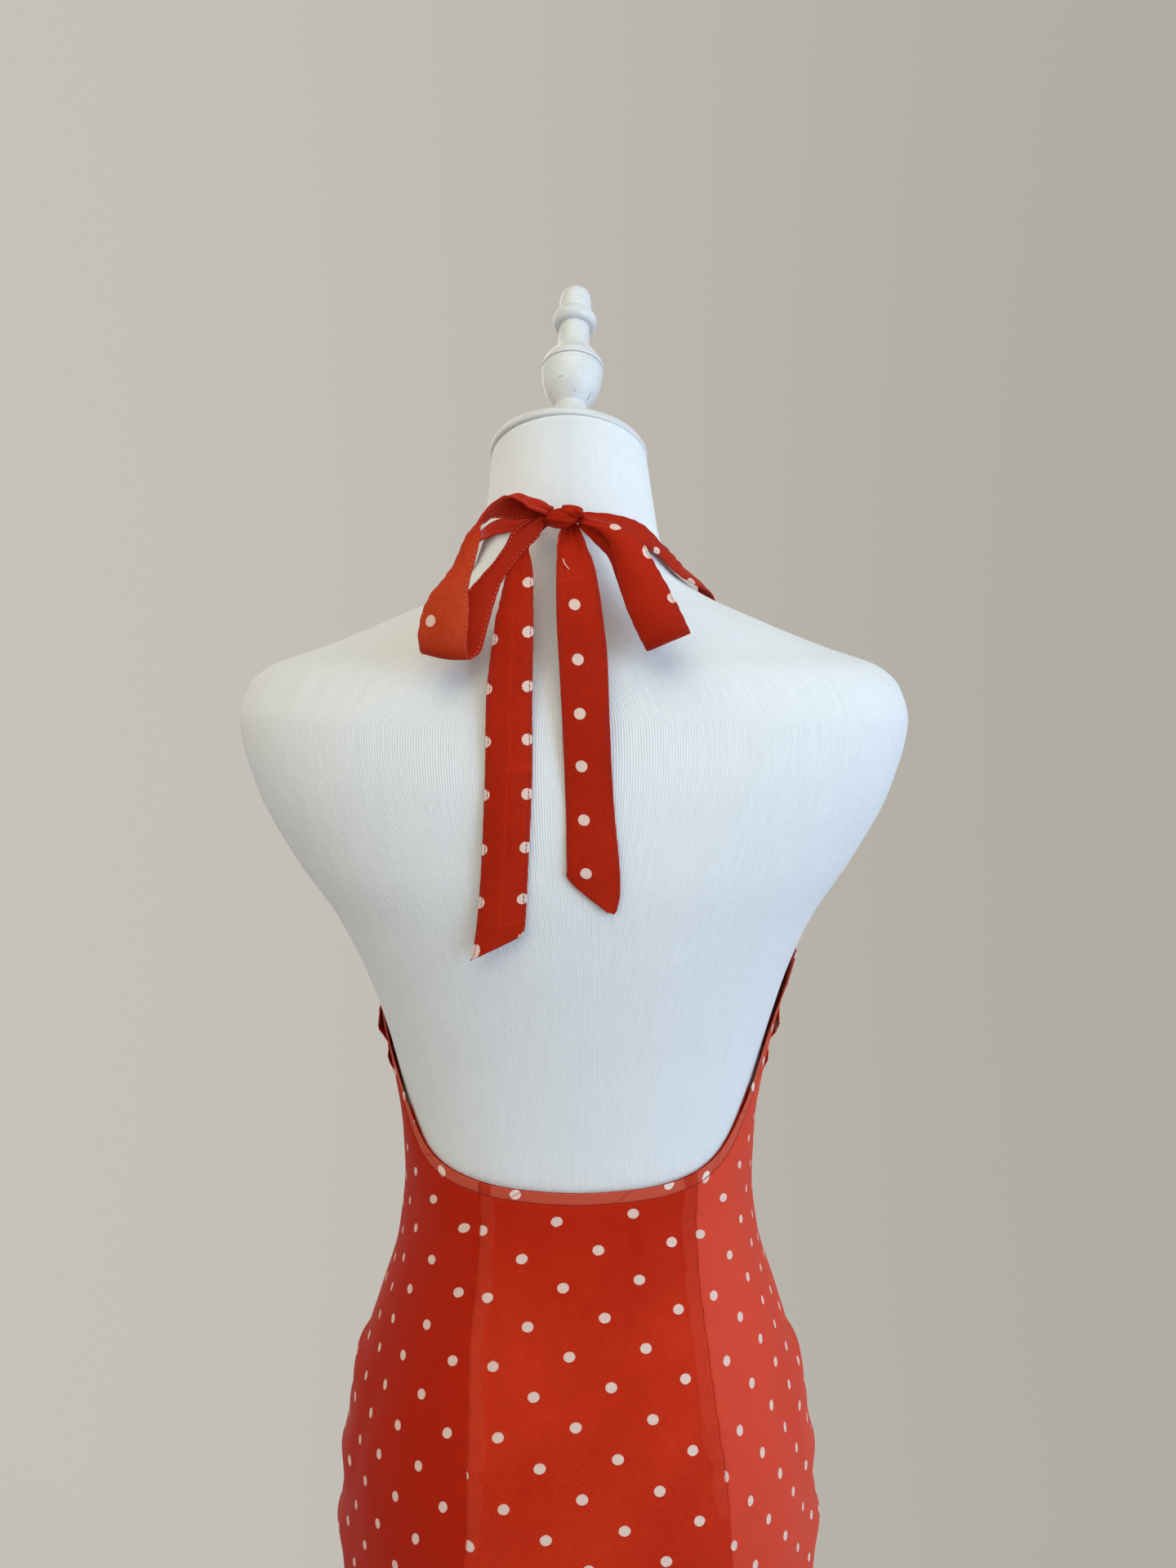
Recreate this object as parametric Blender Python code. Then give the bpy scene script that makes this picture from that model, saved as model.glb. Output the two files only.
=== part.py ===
"""A halter midi dress with a low back, tied in a bow at the nape, on a limbless dress form.

The garment's front faces -Y and its back faces +Y. The wearer's left is +X. The floor is z = 0.
Lengths are metres, angles are degrees. An angle round the body is 0 at the front, 90 at the
wearer's left side and 180 at the back.
"""
import math

import bmesh
import bpy
from mathutils import Vector
from mathutils.bvhtree import BVHTree

# Driving dimensions
CLOTH = 0.0012
FOLDED_CLOTH = 0.0018
SEAM_GAP = 0.0003
HEM_HEIGHT = 0.350
TORSO_BOTTOM = 0.775
NECK_TOP = 1.5235
CAP_TILT = 25.0
CAP_RADIUS = 0.0485
CAP_THICKNESS = 0.005
POLE_RADIUS = 0.016
BASE_RADIUS = 0.190
BASE_HEIGHT = 0.022
COLLAR_RADIUS = 0.034
COLLAR_HEIGHT = 0.030
COLLAR_CHAMFER = 0.006
FLANGE_RADIUS = 0.030
FLANGE_HEIGHT = 0.010
FLANGE_SLOPE = 0.006

# The figure and the hang of the skirt below it:
# height, half width, depth to the front, depth to the back, squareness of the section
FIGURE = (
    (0.350, 0.1860, 0.1090, 0.1220, 2.0),
    (0.450, 0.1760, 0.1060, 0.1190, 2.0),
    (0.550, 0.1670, 0.1030, 0.1165, 2.0),
    (0.650, 0.1590, 0.1000, 0.1145, 2.05),
    (0.720, 0.1530, 0.0980, 0.1130, 2.1),
    (0.780, 0.1480, 0.0960, 0.1120, 2.2),
    (0.840, 0.1490, 0.0980, 0.1160, 2.2),
    (0.880, 0.1475, 0.1000, 0.1170, 2.2),
    (0.920, 0.1445, 0.1010, 0.1120, 2.2),
    (0.960, 0.1370, 0.1000, 0.1030, 2.2),
    (1.000, 0.1250, 0.0960, 0.0920, 2.2),
    (1.050, 0.1105, 0.0890, 0.0810, 2.2),
    (1.090, 0.1060, 0.0840, 0.0750, 2.2),
    (1.120, 0.1070, 0.0840, 0.0740, 2.2),
    (1.164, 0.1140, 0.0870, 0.0760, 2.2),
    (1.207, 0.1260, 0.0920, 0.0810, 2.2),
    (1.249, 0.1440, 0.0960, 0.0870, 2.2),
    (1.290, 0.1710, 0.0940, 0.0910, 2.2),
    (1.330, 0.1920, 0.0860, 0.0900, 2.2),
    (1.371, 0.2020, 0.0740, 0.0840, 2.15),
    (1.390, 0.1970, 0.0670, 0.0790, 2.0),
    (1.402, 0.1850, 0.0620, 0.0750, 1.9),
    (1.414, 0.1520, 0.0570, 0.0705, 1.75),
    (1.430, 0.1120, 0.0520, 0.0640, 1.7),
    (1.449, 0.0715, 0.0475, 0.0560, 1.85),
    (1.464, 0.0560, 0.0460, 0.0520, 2.0),
    (1.490, 0.0485, 0.0465, 0.0490, 2.0),
    (1.530, 0.0465, 0.0465, 0.0465, 2.0),
)
BUST_HEIGHT = 1.225
BUST_ANGLE = 36.0
BUST_RISE = 0.024
BUST_SPREAD_ANGLE = 19.0
BUST_SPREAD_HEIGHT = 0.040
# Share of the bust's rise that goes sideways, and how far the cloth dips between the busts
BUST_SIDEWAYS = 0.55
BUST_DIP = 0.25
NECK_TILT_START = 1.455
# The body below the bust stands this far to the wearer's right of the neck
SIDE_LEAN = 0.0025
SIDE_LEAN_TOP = 1.300
SIDE_LEAN_LENGTH = 0.150

# Top edge of the front panel: angle from the centre front, height on the wearer's right and left
FRONT_TOP = (
    (0.0, 1.236, 1.236),
    (7.0, 1.278, 1.278),
    (13.0, 1.328, 1.328),
    (18.5, 1.385, 1.385),
    (25.5, 1.385, 1.385),
    (31.0, 1.338, 1.336),
    (38.0, 1.301, 1.297),
    (47.0, 1.272, 1.264),
    (58.0, 1.252, 1.238),
    (70.0, 1.240, 1.216),
    (81.0, 1.234, 1.200),
    (90.0, 1.227, 1.189),
)
# Top edge of the back panel: angle from the centre back, height on the wearer's right and left
BACK_TOP = (
    (0.0, 1.1035, 1.1035),
    (20.0, 1.1050, 1.1050),
    (35.0, 1.1085, 1.1080),
    (45.0, 1.1140, 1.1115),
    (55.0, 1.1260, 1.1190),
    (63.0, 1.1440, 1.1330),
    (71.0, 1.1710, 1.1530),
    (80.0, 1.2050, 1.1740),
    (90.0, 1.2270, 1.1890),
)
# Height of the rows of cloth that both panels share, from the bust down to the hem
CLOTH_ROWS = (
    1.180, 1.170, 1.160, 1.150, 1.140, 1.128, 1.112, 1.090, 1.062, 1.035, 1.010, 0.988, 0.972,
    0.958, 0.944, 0.926, 0.908, 0.890, 0.873, 0.856, 0.839, 0.815, 0.780, 0.720, 0.640, 0.560,
    0.480, 0.410, 0.350,
)
ROW_SPACE = 0.012
ROWS_ABOVE = 7
BACK_ROWS_ABOVE = 3
# How far the cloth stands off the figure: height, stand-off
EASE = (
    (0.350, 0.0040),
    (0.800, 0.0034),
    (0.960, 0.0030),
    (1.050, 0.0022),
    (1.110, 0.0028),
    (1.190, 0.0028),
    (1.230, 0.0044),
    (1.255, 0.0040),
    (1.300, 0.0030),
    (1.450, 0.0018),
)
# How far the puckers and gathers reach from the side seam, in degrees
PUCKER_REACH = 17.0
GATHER_REACH = 24.0
# Puckers along each side seam over the hip: height, how far out, half length along the seam
HIP_PUCKERS = (
    (0.958, 0.0030, 0.013),
    (0.908, 0.0028, 0.015),
    (0.856, 0.0038, 0.014),
)
# Gathers eased into the side seam by the bust: height, how far out, half length along the seam
BUST_GATHERS = (
    (1.205, 0.0018, 0.007),
    (1.180, 0.0052, 0.010),
    (1.156, 0.0034, 0.008),
    (1.136, 0.0020, 0.007),
)
# Soft folds of the hanging skirt: angle, depth at the hem, half width in degrees, height it starts
SKIRT_FOLDS = (
    (12.0, 0.022, 10.5, 0.78),
    (45.0, 0.030, 11.5, 0.84),
    (76.0, 0.024, 10.0, 0.80),
    (112.0, 0.028, 10.5, 0.84),
    (146.0, 0.024, 11.5, 0.76),
    (173.0, 0.019, 9.5, 0.70),
    (205.0, 0.028, 11.5, 0.82),
    (238.0, 0.022, 10.5, 0.74),
    (263.0, 0.027, 9.5, 0.82),
    (301.0, 0.025, 11.5, 0.80),
    (336.0, 0.028, 10.5, 0.86),
)
# The folded intake of each back dart: height, angle of its seam from the centre back, and the
# width of the intake in degrees, which lies folded towards the centre
DART_RAISE = 0.0008
DART_STEP = 0.8
DART_LEFT = (
    (1.100, 29.5, 4.2),
    (1.030, 29.0, 4.0),
    (0.960, 24.5, 3.4),
    (0.905, 23.0, 2.6),
    (0.855, 23.5, 1.2),
)
DART_RIGHT = (
    (1.100, 38.0, 4.6),
    (1.030, 36.0, 4.2),
    (0.960, 34.0, 3.4),
    (0.905, 34.0, 2.4),
    (0.860, 35.0, 1.0),
)
FACING_WIDTH = 0.0075
FACING_THICKNESS = 0.0010
FACING_GAP = 0.0005
FACING_STRETCH = 2.2
FACING_END = 66.0
WAIST_RADIUS = 0.110


def between(table, value, column):
    """Smooth value of a table's column, without overshoot between its rows."""
    rows = sorted(table)
    value = min(max(value, rows[0][0]), rows[-1][0])
    last = len(rows) - 2
    i = 0
    while i < last and value > rows[i + 1][0]:
        i += 1

    def chord(j):
        return (rows[j + 1][column] - rows[j][column]) / (rows[j + 1][0] - rows[j][0])

    def slope(j):
        if j == 0:
            return chord(0)
        if j == len(rows) - 1:
            return chord(j - 1)
        before, after = chord(j - 1), chord(j)
        if before * after <= 0.0:
            return 0.0
        return 2.0 * before * after / (before + after)

    step = rows[i + 1][0] - rows[i][0]
    s = (value - rows[i][0]) / step
    start, end = rows[i][column], rows[i + 1][column]
    bend_start, bend_end = slope(i) * step, slope(i + 1) * step
    return (
        start * (1 + 2 * s) * (1 - s) ** 2
        + bend_start * s * (1 - s) ** 2
        + end * s * s * (3 - 2 * s)
        + bend_end * s * s * (s - 1)
    )


def bell(distance, spread):
    """A soft bump that is 1 at no distance and falls to nothing."""
    return math.exp(-((distance / spread) ** 2))


def turned(angle, other):
    """The smallest turn between two angles, in degrees."""
    return (angle - other + 180.0) % 360.0 - 180.0


def power(value, exponent):
    return math.copysign(abs(value) ** exponent, value)


def figure_point(angle, height, dip=1.0):
    """A point on the figure, or on the line along which the skirt hangs below it."""
    half_width = between(FIGURE, height, 1)
    front = between(FIGURE, height, 2)
    back = between(FIGURE, height, 3)
    square = between(FIGURE, height, 4)
    across = power(math.sin(math.radians(angle)), 2.0 / square)
    along = power(-math.cos(math.radians(angle)), 2.0 / square)
    depth = front if along < 0 else back
    x = half_width * across
    y = depth * along
    side = abs(turned(angle, 0.0))
    near_bust = bell(side - BUST_ANGLE, BUST_SPREAD_ANGLE)
    if side < BUST_ANGLE:
        near_bust = 1.0 - dip * (1.0 - near_bust)
    rise = BUST_RISE * near_bust * bell(height - BUST_HEIGHT, BUST_SPREAD_HEIGHT)
    x += rise * math.sin(math.radians(angle)) * BUST_SIDEWAYS
    y -= rise
    x -= SIDE_LEAN * smooth_step((SIDE_LEAN_TOP - height) / SIDE_LEAN_LENGTH)
    tilt = math.radians(CAP_TILT) * smooth_step((height - NECK_TILT_START) / (NECK_TOP - NECK_TILT_START))
    return Vector((x, y * math.cos(tilt), height + y * math.sin(tilt)))


def smooth_step(value):
    value = min(max(value, 0.0), 1.0)
    return value * value * (3.0 - 2.0 * value)


def outward(surface, angle, height):
    """Unit normal of a surface given by angle and height."""
    turn = surface(angle + 0.5, height) - surface(angle - 0.5, height)
    rise = surface(angle, height + 0.002) - surface(angle, height - 0.002)
    return turn.cross(rise).normalized()


def stand_off(angle, height):
    """Distance from the figure to the inside of the cloth."""
    off = between(EASE, height, 1)
    from_seam = abs(abs(turned(angle, 0.0)) - 90.0)
    for centre, depth, half in HIP_PUCKERS:
        off += depth * bell(height - centre, half) * bell(from_seam, PUCKER_REACH)
    if abs(turned(angle, 0.0)) <= 90.0:
        for centre, depth, half in BUST_GATHERS:
            off += depth * bell(height - centre, half) * bell(from_seam, GATHER_REACH)
    for centre, depth, half, start in SKIRT_FOLDS:
        if height < start:
            drop = smooth_step((start - height) / (start - HEM_HEIGHT))
            off += depth * drop * bell(turned(angle, centre), half)
    return off


def cloth_figure(angle, height):
    """The figure with the cloth bridging the hollow between the busts."""
    return figure_point(angle, height, BUST_DIP)


def cloth_surface(angle, height, out=0.0):
    """A point of the worn cloth, a distance outside its inner face."""
    normal = outward(cloth_figure, angle, height)
    return cloth_figure(angle, height) + normal * (stand_off(angle, height) + out)


def front_top(angle):
    column = 1 if angle < 0 else 2
    return between(FRONT_TOP, abs(angle), column)


def back_top(angle):
    """Height of the back panel's edge at an angle from the centre back, plus to the wearer's right."""
    column = 1 if angle > 0 else 2
    return between(BACK_TOP, abs(angle), column)


def dart_columns(dart, height):
    """Angles and extra thickness across a dart's folded intake at a height."""
    seam = between(dart, height, 1)
    fold = seam - between(dart, height, 2)
    raised = DART_RAISE if height >= dart[-1][0] else 0.0
    return [(fold - DART_STEP, 0.0), (fold, raised), (seam, raised), (seam + DART_STEP, 0.0)]


def material(name, colour, roughness, metallic=0.0):
    made = bpy.data.materials.new(name)
    made.use_nodes = True
    shader = made.node_tree.nodes["Principled BSDF"]
    shader.inputs["Base Color"].default_value = (*colour, 1.0)
    shader.inputs["Roughness"].default_value = roughness
    shader.inputs["Metallic"].default_value = metallic
    made.diffuse_color = (*colour, 1.0)
    return made


def add_object(name, points, faces, finish):
    """A closed body from points and faces, with its faces turned out."""
    mesh = bpy.data.meshes.new(name)
    mesh.from_pydata([tuple(point) for point in points], [], faces)
    shaped = bmesh.new()
    shaped.from_mesh(mesh)
    bmesh.ops.recalc_face_normals(shaped, faces=shaped.faces)
    shaped.to_mesh(mesh)
    shaped.free()
    mesh.shade_smooth()
    mesh.set_sharp_from_angle(angle=math.radians(40.0))
    mesh.materials.append(finish)
    made = bpy.data.objects.new(name, mesh)
    bpy.context.scene.collection.objects.link(made)
    return made


def wall_from_grids(name, inner, outer, finish):
    """A closed wall between two grids of points that have the same rows and columns."""
    rows, columns = len(inner), len(inner[0])
    count = rows * columns
    points = [point for row in inner for point in row] + [point for row in outer for point in row]
    faces = []
    for r in range(rows - 1):
        for c in range(columns - 1):
            a = r * columns + c
            b = a + columns
            faces.append((a, a + 1, b + 1, b))
            faces.append((count + a, count + b, count + b + 1, count + a + 1))
    for c in range(columns - 1):
        last = (rows - 1) * columns + c
        faces.append((c, count + c, count + c + 1, c + 1))
        faces.append((last, last + 1, count + last + 1, count + last))
    for r in range(rows - 1):
        a = r * columns
        b = a + columns
        faces.append((a, b, count + b, count + a))
        a += columns - 1
        b += columns - 1
        faces.append((a, count + a, count + b, b))
    return add_object(name, points, faces, finish)


def turned_body(name, rings, finish):
    """A closed body through rings of points, with flat ends."""
    around = len(rings[0])
    points = [point for ring in rings for point in ring]
    faces = []
    for r in range(len(rings) - 1):
        for c in range(around):
            a = r * around + c
            b = r * around + (c + 1) % around
            faces.append((a, b, b + around, a + around))
    faces.append(tuple(range(around)))
    faces.append(tuple((len(rings) - 1) * around + c for c in range(around)))
    return add_object(name, points, faces, finish)


def lathe(name, profile, finish, around, base=Vector((0, 0, 0)), tilt=0.0):
    """A turned body: its profile has rows of height and radius along a tilted axis."""
    lean = math.radians(tilt)
    axis = Vector((0.0, -math.sin(lean), math.cos(lean)))
    across = Vector((1.0, 0.0, 0.0))
    away = axis.cross(across)
    rings = []
    for height, radius in profile:
        ring = []
        for i in range(around):
            turn = 2.0 * math.pi * i / around
            spoke = across * math.cos(turn) + away * math.sin(turn)
            ring.append(base + axis * height + spoke * radius)
        rings.append(ring)
    return turned_body(name, rings, finish)


# Heights of the torso's rings
TORSO_RINGS = (
    0.787, 0.810, 0.840, 0.870, 0.900, 0.930, 0.960, 0.990, 1.020, 1.050, 1.080, 1.110, 1.140,
    1.170, 1.197, 1.222, 1.246, 1.270, 1.294, 1.318, 1.342, 1.363, 1.380, 1.393, 1.403, 1.411,
    1.420, 1.430, 1.441, 1.453, 1.466, 1.484, 1.504,
)
TORSO_AROUND = 40
BOTTOM_ROUNDING = ((0.0, 0.900), (0.004, 0.955), (0.012, 0.993))


def build_torso(finish):
    """The jersey-covered torso: rings of the figure, its underside rounded and flat."""
    rings = []
    foot = TORSO_RINGS[0]
    for lift, share in BOTTOM_ROUNDING[:-1]:
        ring = []
        for i in range(TORSO_AROUND):
            point = figure_point(360.0 * i / TORSO_AROUND, foot)
            ring.append(Vector((point.x * share, point.y * share, TORSO_BOTTOM + lift)))
        rings.append(ring)
    for height in TORSO_RINGS + (NECK_TOP,):
        rings.append([figure_point(360.0 * i / TORSO_AROUND, height) for i in range(TORSO_AROUND)])
    return turned_body("torso", rings, finish)


def panel_rows(top, rows_above):
    """Heights of a column of cloth from its top edge to the hem."""
    shared = [height for height in CLOTH_ROWS if height <= top - ROW_SPACE]
    needed = rows_above + len(CLOTH_ROWS) - len(shared)
    heights = [top - (top - shared[0]) * i / needed for i in range(needed)]
    return heights + shared


FRONT_ANGLES = (0.0, 6.0, 12.0, 18.5, 22.0, 25.5, 31.0, 38.0, 45.0, 53.0, 61.0, 69.0, 77.0, 84.0, 90.0)


def build_front(finish):
    """The front panel, from the halter points and the V to the hem."""
    seam = math.degrees(0.5 * SEAM_GAP / WAIST_RADIUS)
    angles = [-angle for angle in reversed(FRONT_ANGLES[1:])] + list(FRONT_ANGLES)
    angles[0] += seam
    angles[-1] -= seam
    columns = [panel_rows(front_top(angle), ROWS_ABOVE) for angle in angles]
    inner, outer = [], []
    for r in range(len(columns[0])):
        inner.append([cloth_surface(angle, columns[c][r]) for c, angle in enumerate(angles)])
        outer.append([cloth_surface(angle, columns[c][r], CLOTH) for c, angle in enumerate(angles)])
    return wall_from_grids("front_panel", inner, outer, finish)


# Columns of the back panel beside its darts, in degrees from the centre back
BACK_CENTRE_ANGLES = (8.0, 16.0)
BACK_LEFT_ANGLES = (36.5, 44.0, 51.0, 58.0, 65.0, 73.0, 81.0, 90.0)
BACK_RIGHT_ANGLES = (44.5, 51.0, 58.0, 65.0, 73.0, 81.0, 90.0)


def back_half(dart, side_angles, height):
    """Angles and extra thickness of one half of the back, from beside the centre to the side."""
    half = [(angle, 0.0) for angle in BACK_CENTRE_ANGLES]
    half += dart_columns(dart, height)
    half += [(angle, 0.0) for angle in side_angles]
    half[-1] = (half[-1][0] - math.degrees(0.5 * SEAM_GAP / WAIST_RADIUS), 0.0)
    return half


def back_columns(height):
    """Angles from the centre back and extra thickness of the panel's columns at a height."""
    left = back_half(DART_LEFT, BACK_LEFT_ANGLES, height)
    right = back_half(DART_RIGHT, BACK_RIGHT_ANGLES, height)
    return [(-angle, raised) for angle, raised in reversed(left)] + [(0.0, 0.0)] + right


def facing_drop(angle):
    """How far below the back's edge the facing's lower edge lies, further where the edge is steep."""
    slope = (back_top(angle + 0.5) - back_top(angle - 0.5)) / (WAIST_RADIUS * math.radians(1.0))
    return FACING_WIDTH * min(math.sqrt(1.0 + slope * slope), FACING_STRETCH)


def build_back(finish):
    """The back panel, from the low round edge to the hem, thicker over the dart intakes."""
    columns = []
    for angle, _ in back_columns(DART_LEFT[0][0]):
        top = back_top(angle)
        columns.append([top] + panel_rows(top - facing_drop(angle), BACK_ROWS_ABOVE))
    inner, outer = [], []
    for r in range(len(columns[0])):
        inner_row, outer_row = [], []
        for c, heights in enumerate(columns):
            angle, raised = back_columns(heights[r])[c]
            inner_row.append(cloth_surface(180.0 + angle, heights[r]))
            outer_row.append(cloth_surface(180.0 + angle, heights[r], CLOTH + raised))
        inner.append(inner_row)
        outer.append(outer_row)
    return wall_from_grids("back_panel", inner, outer, finish)


def build_facing(finish):
    """The narrow facing inside the low edge of the back, made from the panel's first two rows."""
    under = -FACING_THICKNESS - FACING_GAP
    angles = [angle for angle, _ in back_columns(DART_LEFT[0][0]) if abs(angle) < FACING_END]
    inner, outer = [], []
    for share in (0.0, 1.0):
        heights = [back_top(angle) - share * facing_drop(angle) for angle in angles]
        inner.append([cloth_surface(180.0 + a, height, under) for a, height in zip(angles, heights)])
        outer.append([cloth_surface(180.0 + a, height, -FACING_GAP) for a, height in zip(angles, heights)])
    return wall_from_grids("back_facing", inner, outer, finish)


def curve_through(points, share):
    """A point at a share of the way along a smooth curve through points."""
    spans = len(points) - 1
    at = min(max(share, 0.0), 1.0) * spans
    i = min(int(at), spans - 1)
    s = at - i
    b, c = points[i], points[i + 1]
    a = points[i - 1] if i > 0 else b * 2.0 - c
    d = points[i + 2] if i + 2 <= spans else c * 2.0 - b
    return 0.5 * ((2.0 * b) + (c - a) * s + (2.0 * a - 5.0 * b + 4.0 * c - d) * s ** 2
                  + (3.0 * b - a - 3.0 * c + d) * s ** 3)


def millimetres(x, y, z):
    return Vector((x, y, z)) * 0.001


def keep_clear(point, tree, clearance):
    """The point, moved out of the torso where it is nearer than the clearance."""
    spot, normal, _, _ = tree.find_nearest(point)
    distance = (point - spot).dot(normal)
    if distance < clearance:
        return point + normal * (clearance - distance)
    return point


def build_tie(name, sections, finish, tree, steps, thickness=CLOTH, clearance=0.0008, across=3):
    """A tie through sections, each a row with the millimetres of its one edge and its other edge."""
    one = [millimetres(*row[0:3]) for row in sections]
    other = [millimetres(*row[3:6]) for row in sections]
    middle = []
    for i in range(steps + 1):
        share = i / steps
        a = curve_through(one, share)
        b = curve_through(other, share)
        row = []
        for j in range(across):
            side = j / (across - 1)
            row.append(keep_clear(a.lerp(b, side), tree, clearance + 0.5 * thickness))
        middle.append(row)
    inner, outer = [], []
    for i in range(steps + 1):
        inner_row, outer_row = [], []
        for j in range(across):
            ahead = middle[min(i + 1, steps)][j] - middle[max(i - 1, 0)][j]
            aside = middle[i][min(j + 1, across - 1)] - middle[i][max(j - 1, 0)]
            normal = ahead.cross(aside).normalized()
            inner_row.append(middle[i][j] - normal * (0.5 * thickness))
            outer_row.append(middle[i][j] + normal * (0.5 * thickness))
        inner.append(inner_row)
        outer.append(outer_row)
    return wall_from_grids(name, inner, outer, finish)


# Ties, in millimetres: x, y, z of one edge, then x, y, z of the other edge, a row for each section.
# Left and right are the wearer's.
STRAP_LEFT = (
    (66.5, -68.5, 1387.0, 88.5, -64.0, 1387.0),
    (72.0, -57, 1406, 93.0, -52, 1403),
    (76.0, -38, 1428, 93.0, -36, 1420),
    (71.0, -14, 1447, 82.0, -10, 1438),
    (65.0, 8, 1459, 71.0, 10, 1450),
    (56.0, 26, 1471, 61.0, 30, 1463),
    (44.0, 41, 1480, 47.0, 45, 1472.5),
    (30.0, 50, 1484, 31.0, 55, 1476.5),
    (18.8, 55.0, 1486, 18.8, 56.8, 1479),
)
STRAP_RIGHT = (
    (-66.5, -68.5, 1387.0, -88.5, -64.0, 1387.0),
    (-72.0, -57, 1406, -93.0, -52, 1403),
    (-76.0, -38, 1428, -93.0, -36, 1420),
    (-72.0, -14, 1449, -83.0, -10, 1440),
    (-62.5, 9, 1460, -70.0, 11, 1450.5),
    (-51.0, 27, 1471.5, -58.0, 30, 1463),
    (-37.5, 43, 1480.5, -41.5, 46, 1472.5),
    (-21.0, 52, 1485.5, -23.0, 55, 1477.5),
    (-6.2, 55.5, 1487.5, -6.2, 57, 1480.0),
)
LOOP_LEFT = (
    (18.2, 63.5, 1486.0, 18.2, 64.5, 1479.5),
    (30.5, 71.0, 1492.0, 28.0, 65.5, 1483.5),
    (40.5, 75.0, 1493.0, 37.5, 67.5, 1482.5),
    (50.5, 80.0, 1483.0, 47.5, 71.0, 1474.5),
    (58.5, 87.0, 1466.5, 49.5, 76.0, 1458.5),
    (65.5, 93.0, 1450.5, 51.0, 81.0, 1442.5),
    (74.5, 95.0, 1437.0, 53.0, 88.0, 1431.0),
    (80.5, 95.0, 1422.0, 55.5, 90.0, 1418.0),
    (80.5, 91.0, 1413.0, 54.5, 89.0, 1408.5),
    (75.5, 84.5, 1413.5, 48.0, 86.0, 1410.0),
    (70.5, 81.0, 1427.0, 43.0, 82.5, 1424.0),
    (60.5, 76.5, 1443.0, 38.5, 77.5, 1441.0),
    (46.0, 70.0, 1460.0, 28.0, 71.5, 1456.0),
    (31.5, 65.0, 1475.0, 19.5, 67.0, 1467.0),
    (19.6, 60.2, 1480.5, 16.8, 61.5, 1473.5),
)
LOOP_RIGHT = (
    (-5.2, 62.5, 1486.5, -5.2, 63.5, 1479.5),
    (-18.0, 67.0, 1486.5, -13.0, 69.0, 1471.5),
    (-32.0, 74.0, 1474.5, -19.5, 73.5, 1461.0),
    (-43.0, 81.5, 1458.5, -24.5, 79.0, 1446.0),
    (-51.0, 88.0, 1441.0, -31.5, 85.0, 1428.5),
    (-59.0, 92.0, 1426.5, -38.5, 89.0, 1412.0),
    (-60.5, 90.0, 1424.0, -39.5, 87.0, 1409.5),
    (-57.5, 86.5, 1430.5, -37.5, 83.5, 1416.0),
    (-50.0, 82.0, 1442.0, -30.0, 80.0, 1429.0),
    (-41.0, 76.0, 1457.5, -20.5, 74.5, 1443.5),
    (-29.0, 69.0, 1471.5, -13.5, 68.5, 1458.0),
    (-16.0, 62.0, 1479.5, -8.0, 63.5, 1467.5),
    (-6.8, 58.0, 1479.5, -3.6, 60.0, 1473.0),
)
TAIL_LEFT = (
    (15.0, 59.0, 1476.6, 9.4, 60.4, 1476.0),
    (25.5, 59.8, 1460.0, 15.0, 61.0, 1457.0),
    (36.5, 67.0, 1442.0, 19.0, 67.0, 1443.0),
    (43.5, 75.0, 1420.0, 20.5, 75.0, 1421.0),
    (46.5, 83.5, 1390.0, 21.5, 83.5, 1390.0),
    (47.0, 90.0, 1345.0, 21.5, 90.0, 1345.0),
    (49.0, 93.0, 1300.0, 23.5, 93.0, 1300.0),
    (52.5, 91.0, 1262.0, 25.5, 91.0, 1266.0),
    (56.0, 90.0, 1243.5, 27.0, 90.5, 1258.0),
)
TAIL_RIGHT = (
    (8.2, 62.0, 1475.5, 0.2, 62.0, 1475.5),
    (6.5, 66.0, 1458.0, -8.0, 66.0, 1459.0),
    (6.0, 73.0, 1436.0, -13.5, 73.0, 1438.0),
    (5.5, 81.0, 1408.0, -16.5, 81.0, 1408.0),
    (4.5, 88.0, 1370.0, -19.5, 88.0, 1370.0),
    (3.5, 91.0, 1330.0, -22.5, 91.0, 1330.0),
    (3.0, 93.0, 1298.0, -25.5, 93.0, 1298.0),
    (2.5, 92.0, 1289.5, -25.0, 92.0, 1279.0),
    (-8.0, 91.5, 1277.5, -20.0, 91.5, 1268.5),
)
# The knot: centre and half sizes of the wrapped lump, in millimetres
KNOT_CENTRE = (6.5, 63.5, 1482.0)
KNOT_HALF = (11.5, 7.5, 6.6)
KNOT_AROUND = 14
KNOT_RINGS = 8
# The knot's roundness, and how deep, where and how wide its waist is
KNOT_ROUND = 0.45
KNOT_WAIST = 0.16
KNOT_WAIST_AT = -0.12
KNOT_WAIST_WIDTH = 0.22
KNOT_END = math.radians(14.0)


def build_knot(finish):
    """The wrapped knot: a rounded lump, drawn in between its two wraps."""
    rings = []
    for i in range(KNOT_RINGS + 1):
        bend = KNOT_END + (math.pi - 2.0 * KNOT_END) * i / KNOT_RINGS
        along = -math.cos(bend)
        radius = math.sin(bend) ** KNOT_ROUND
        radius *= 1.0 - KNOT_WAIST * bell(along - KNOT_WAIST_AT, KNOT_WAIST_WIDTH)
        ring = []
        for j in range(KNOT_AROUND):
            turn = 2.0 * math.pi * j / KNOT_AROUND
            x = KNOT_CENTRE[0] + KNOT_HALF[0] * along
            y = KNOT_CENTRE[1] + KNOT_HALF[1] * radius * math.cos(turn)
            z = KNOT_CENTRE[2] + KNOT_HALF[2] * radius * math.sin(turn)
            ring.append(millimetres(x, y, z))
        rings.append(ring)
    return turned_body("knot", rings, finish)


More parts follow.
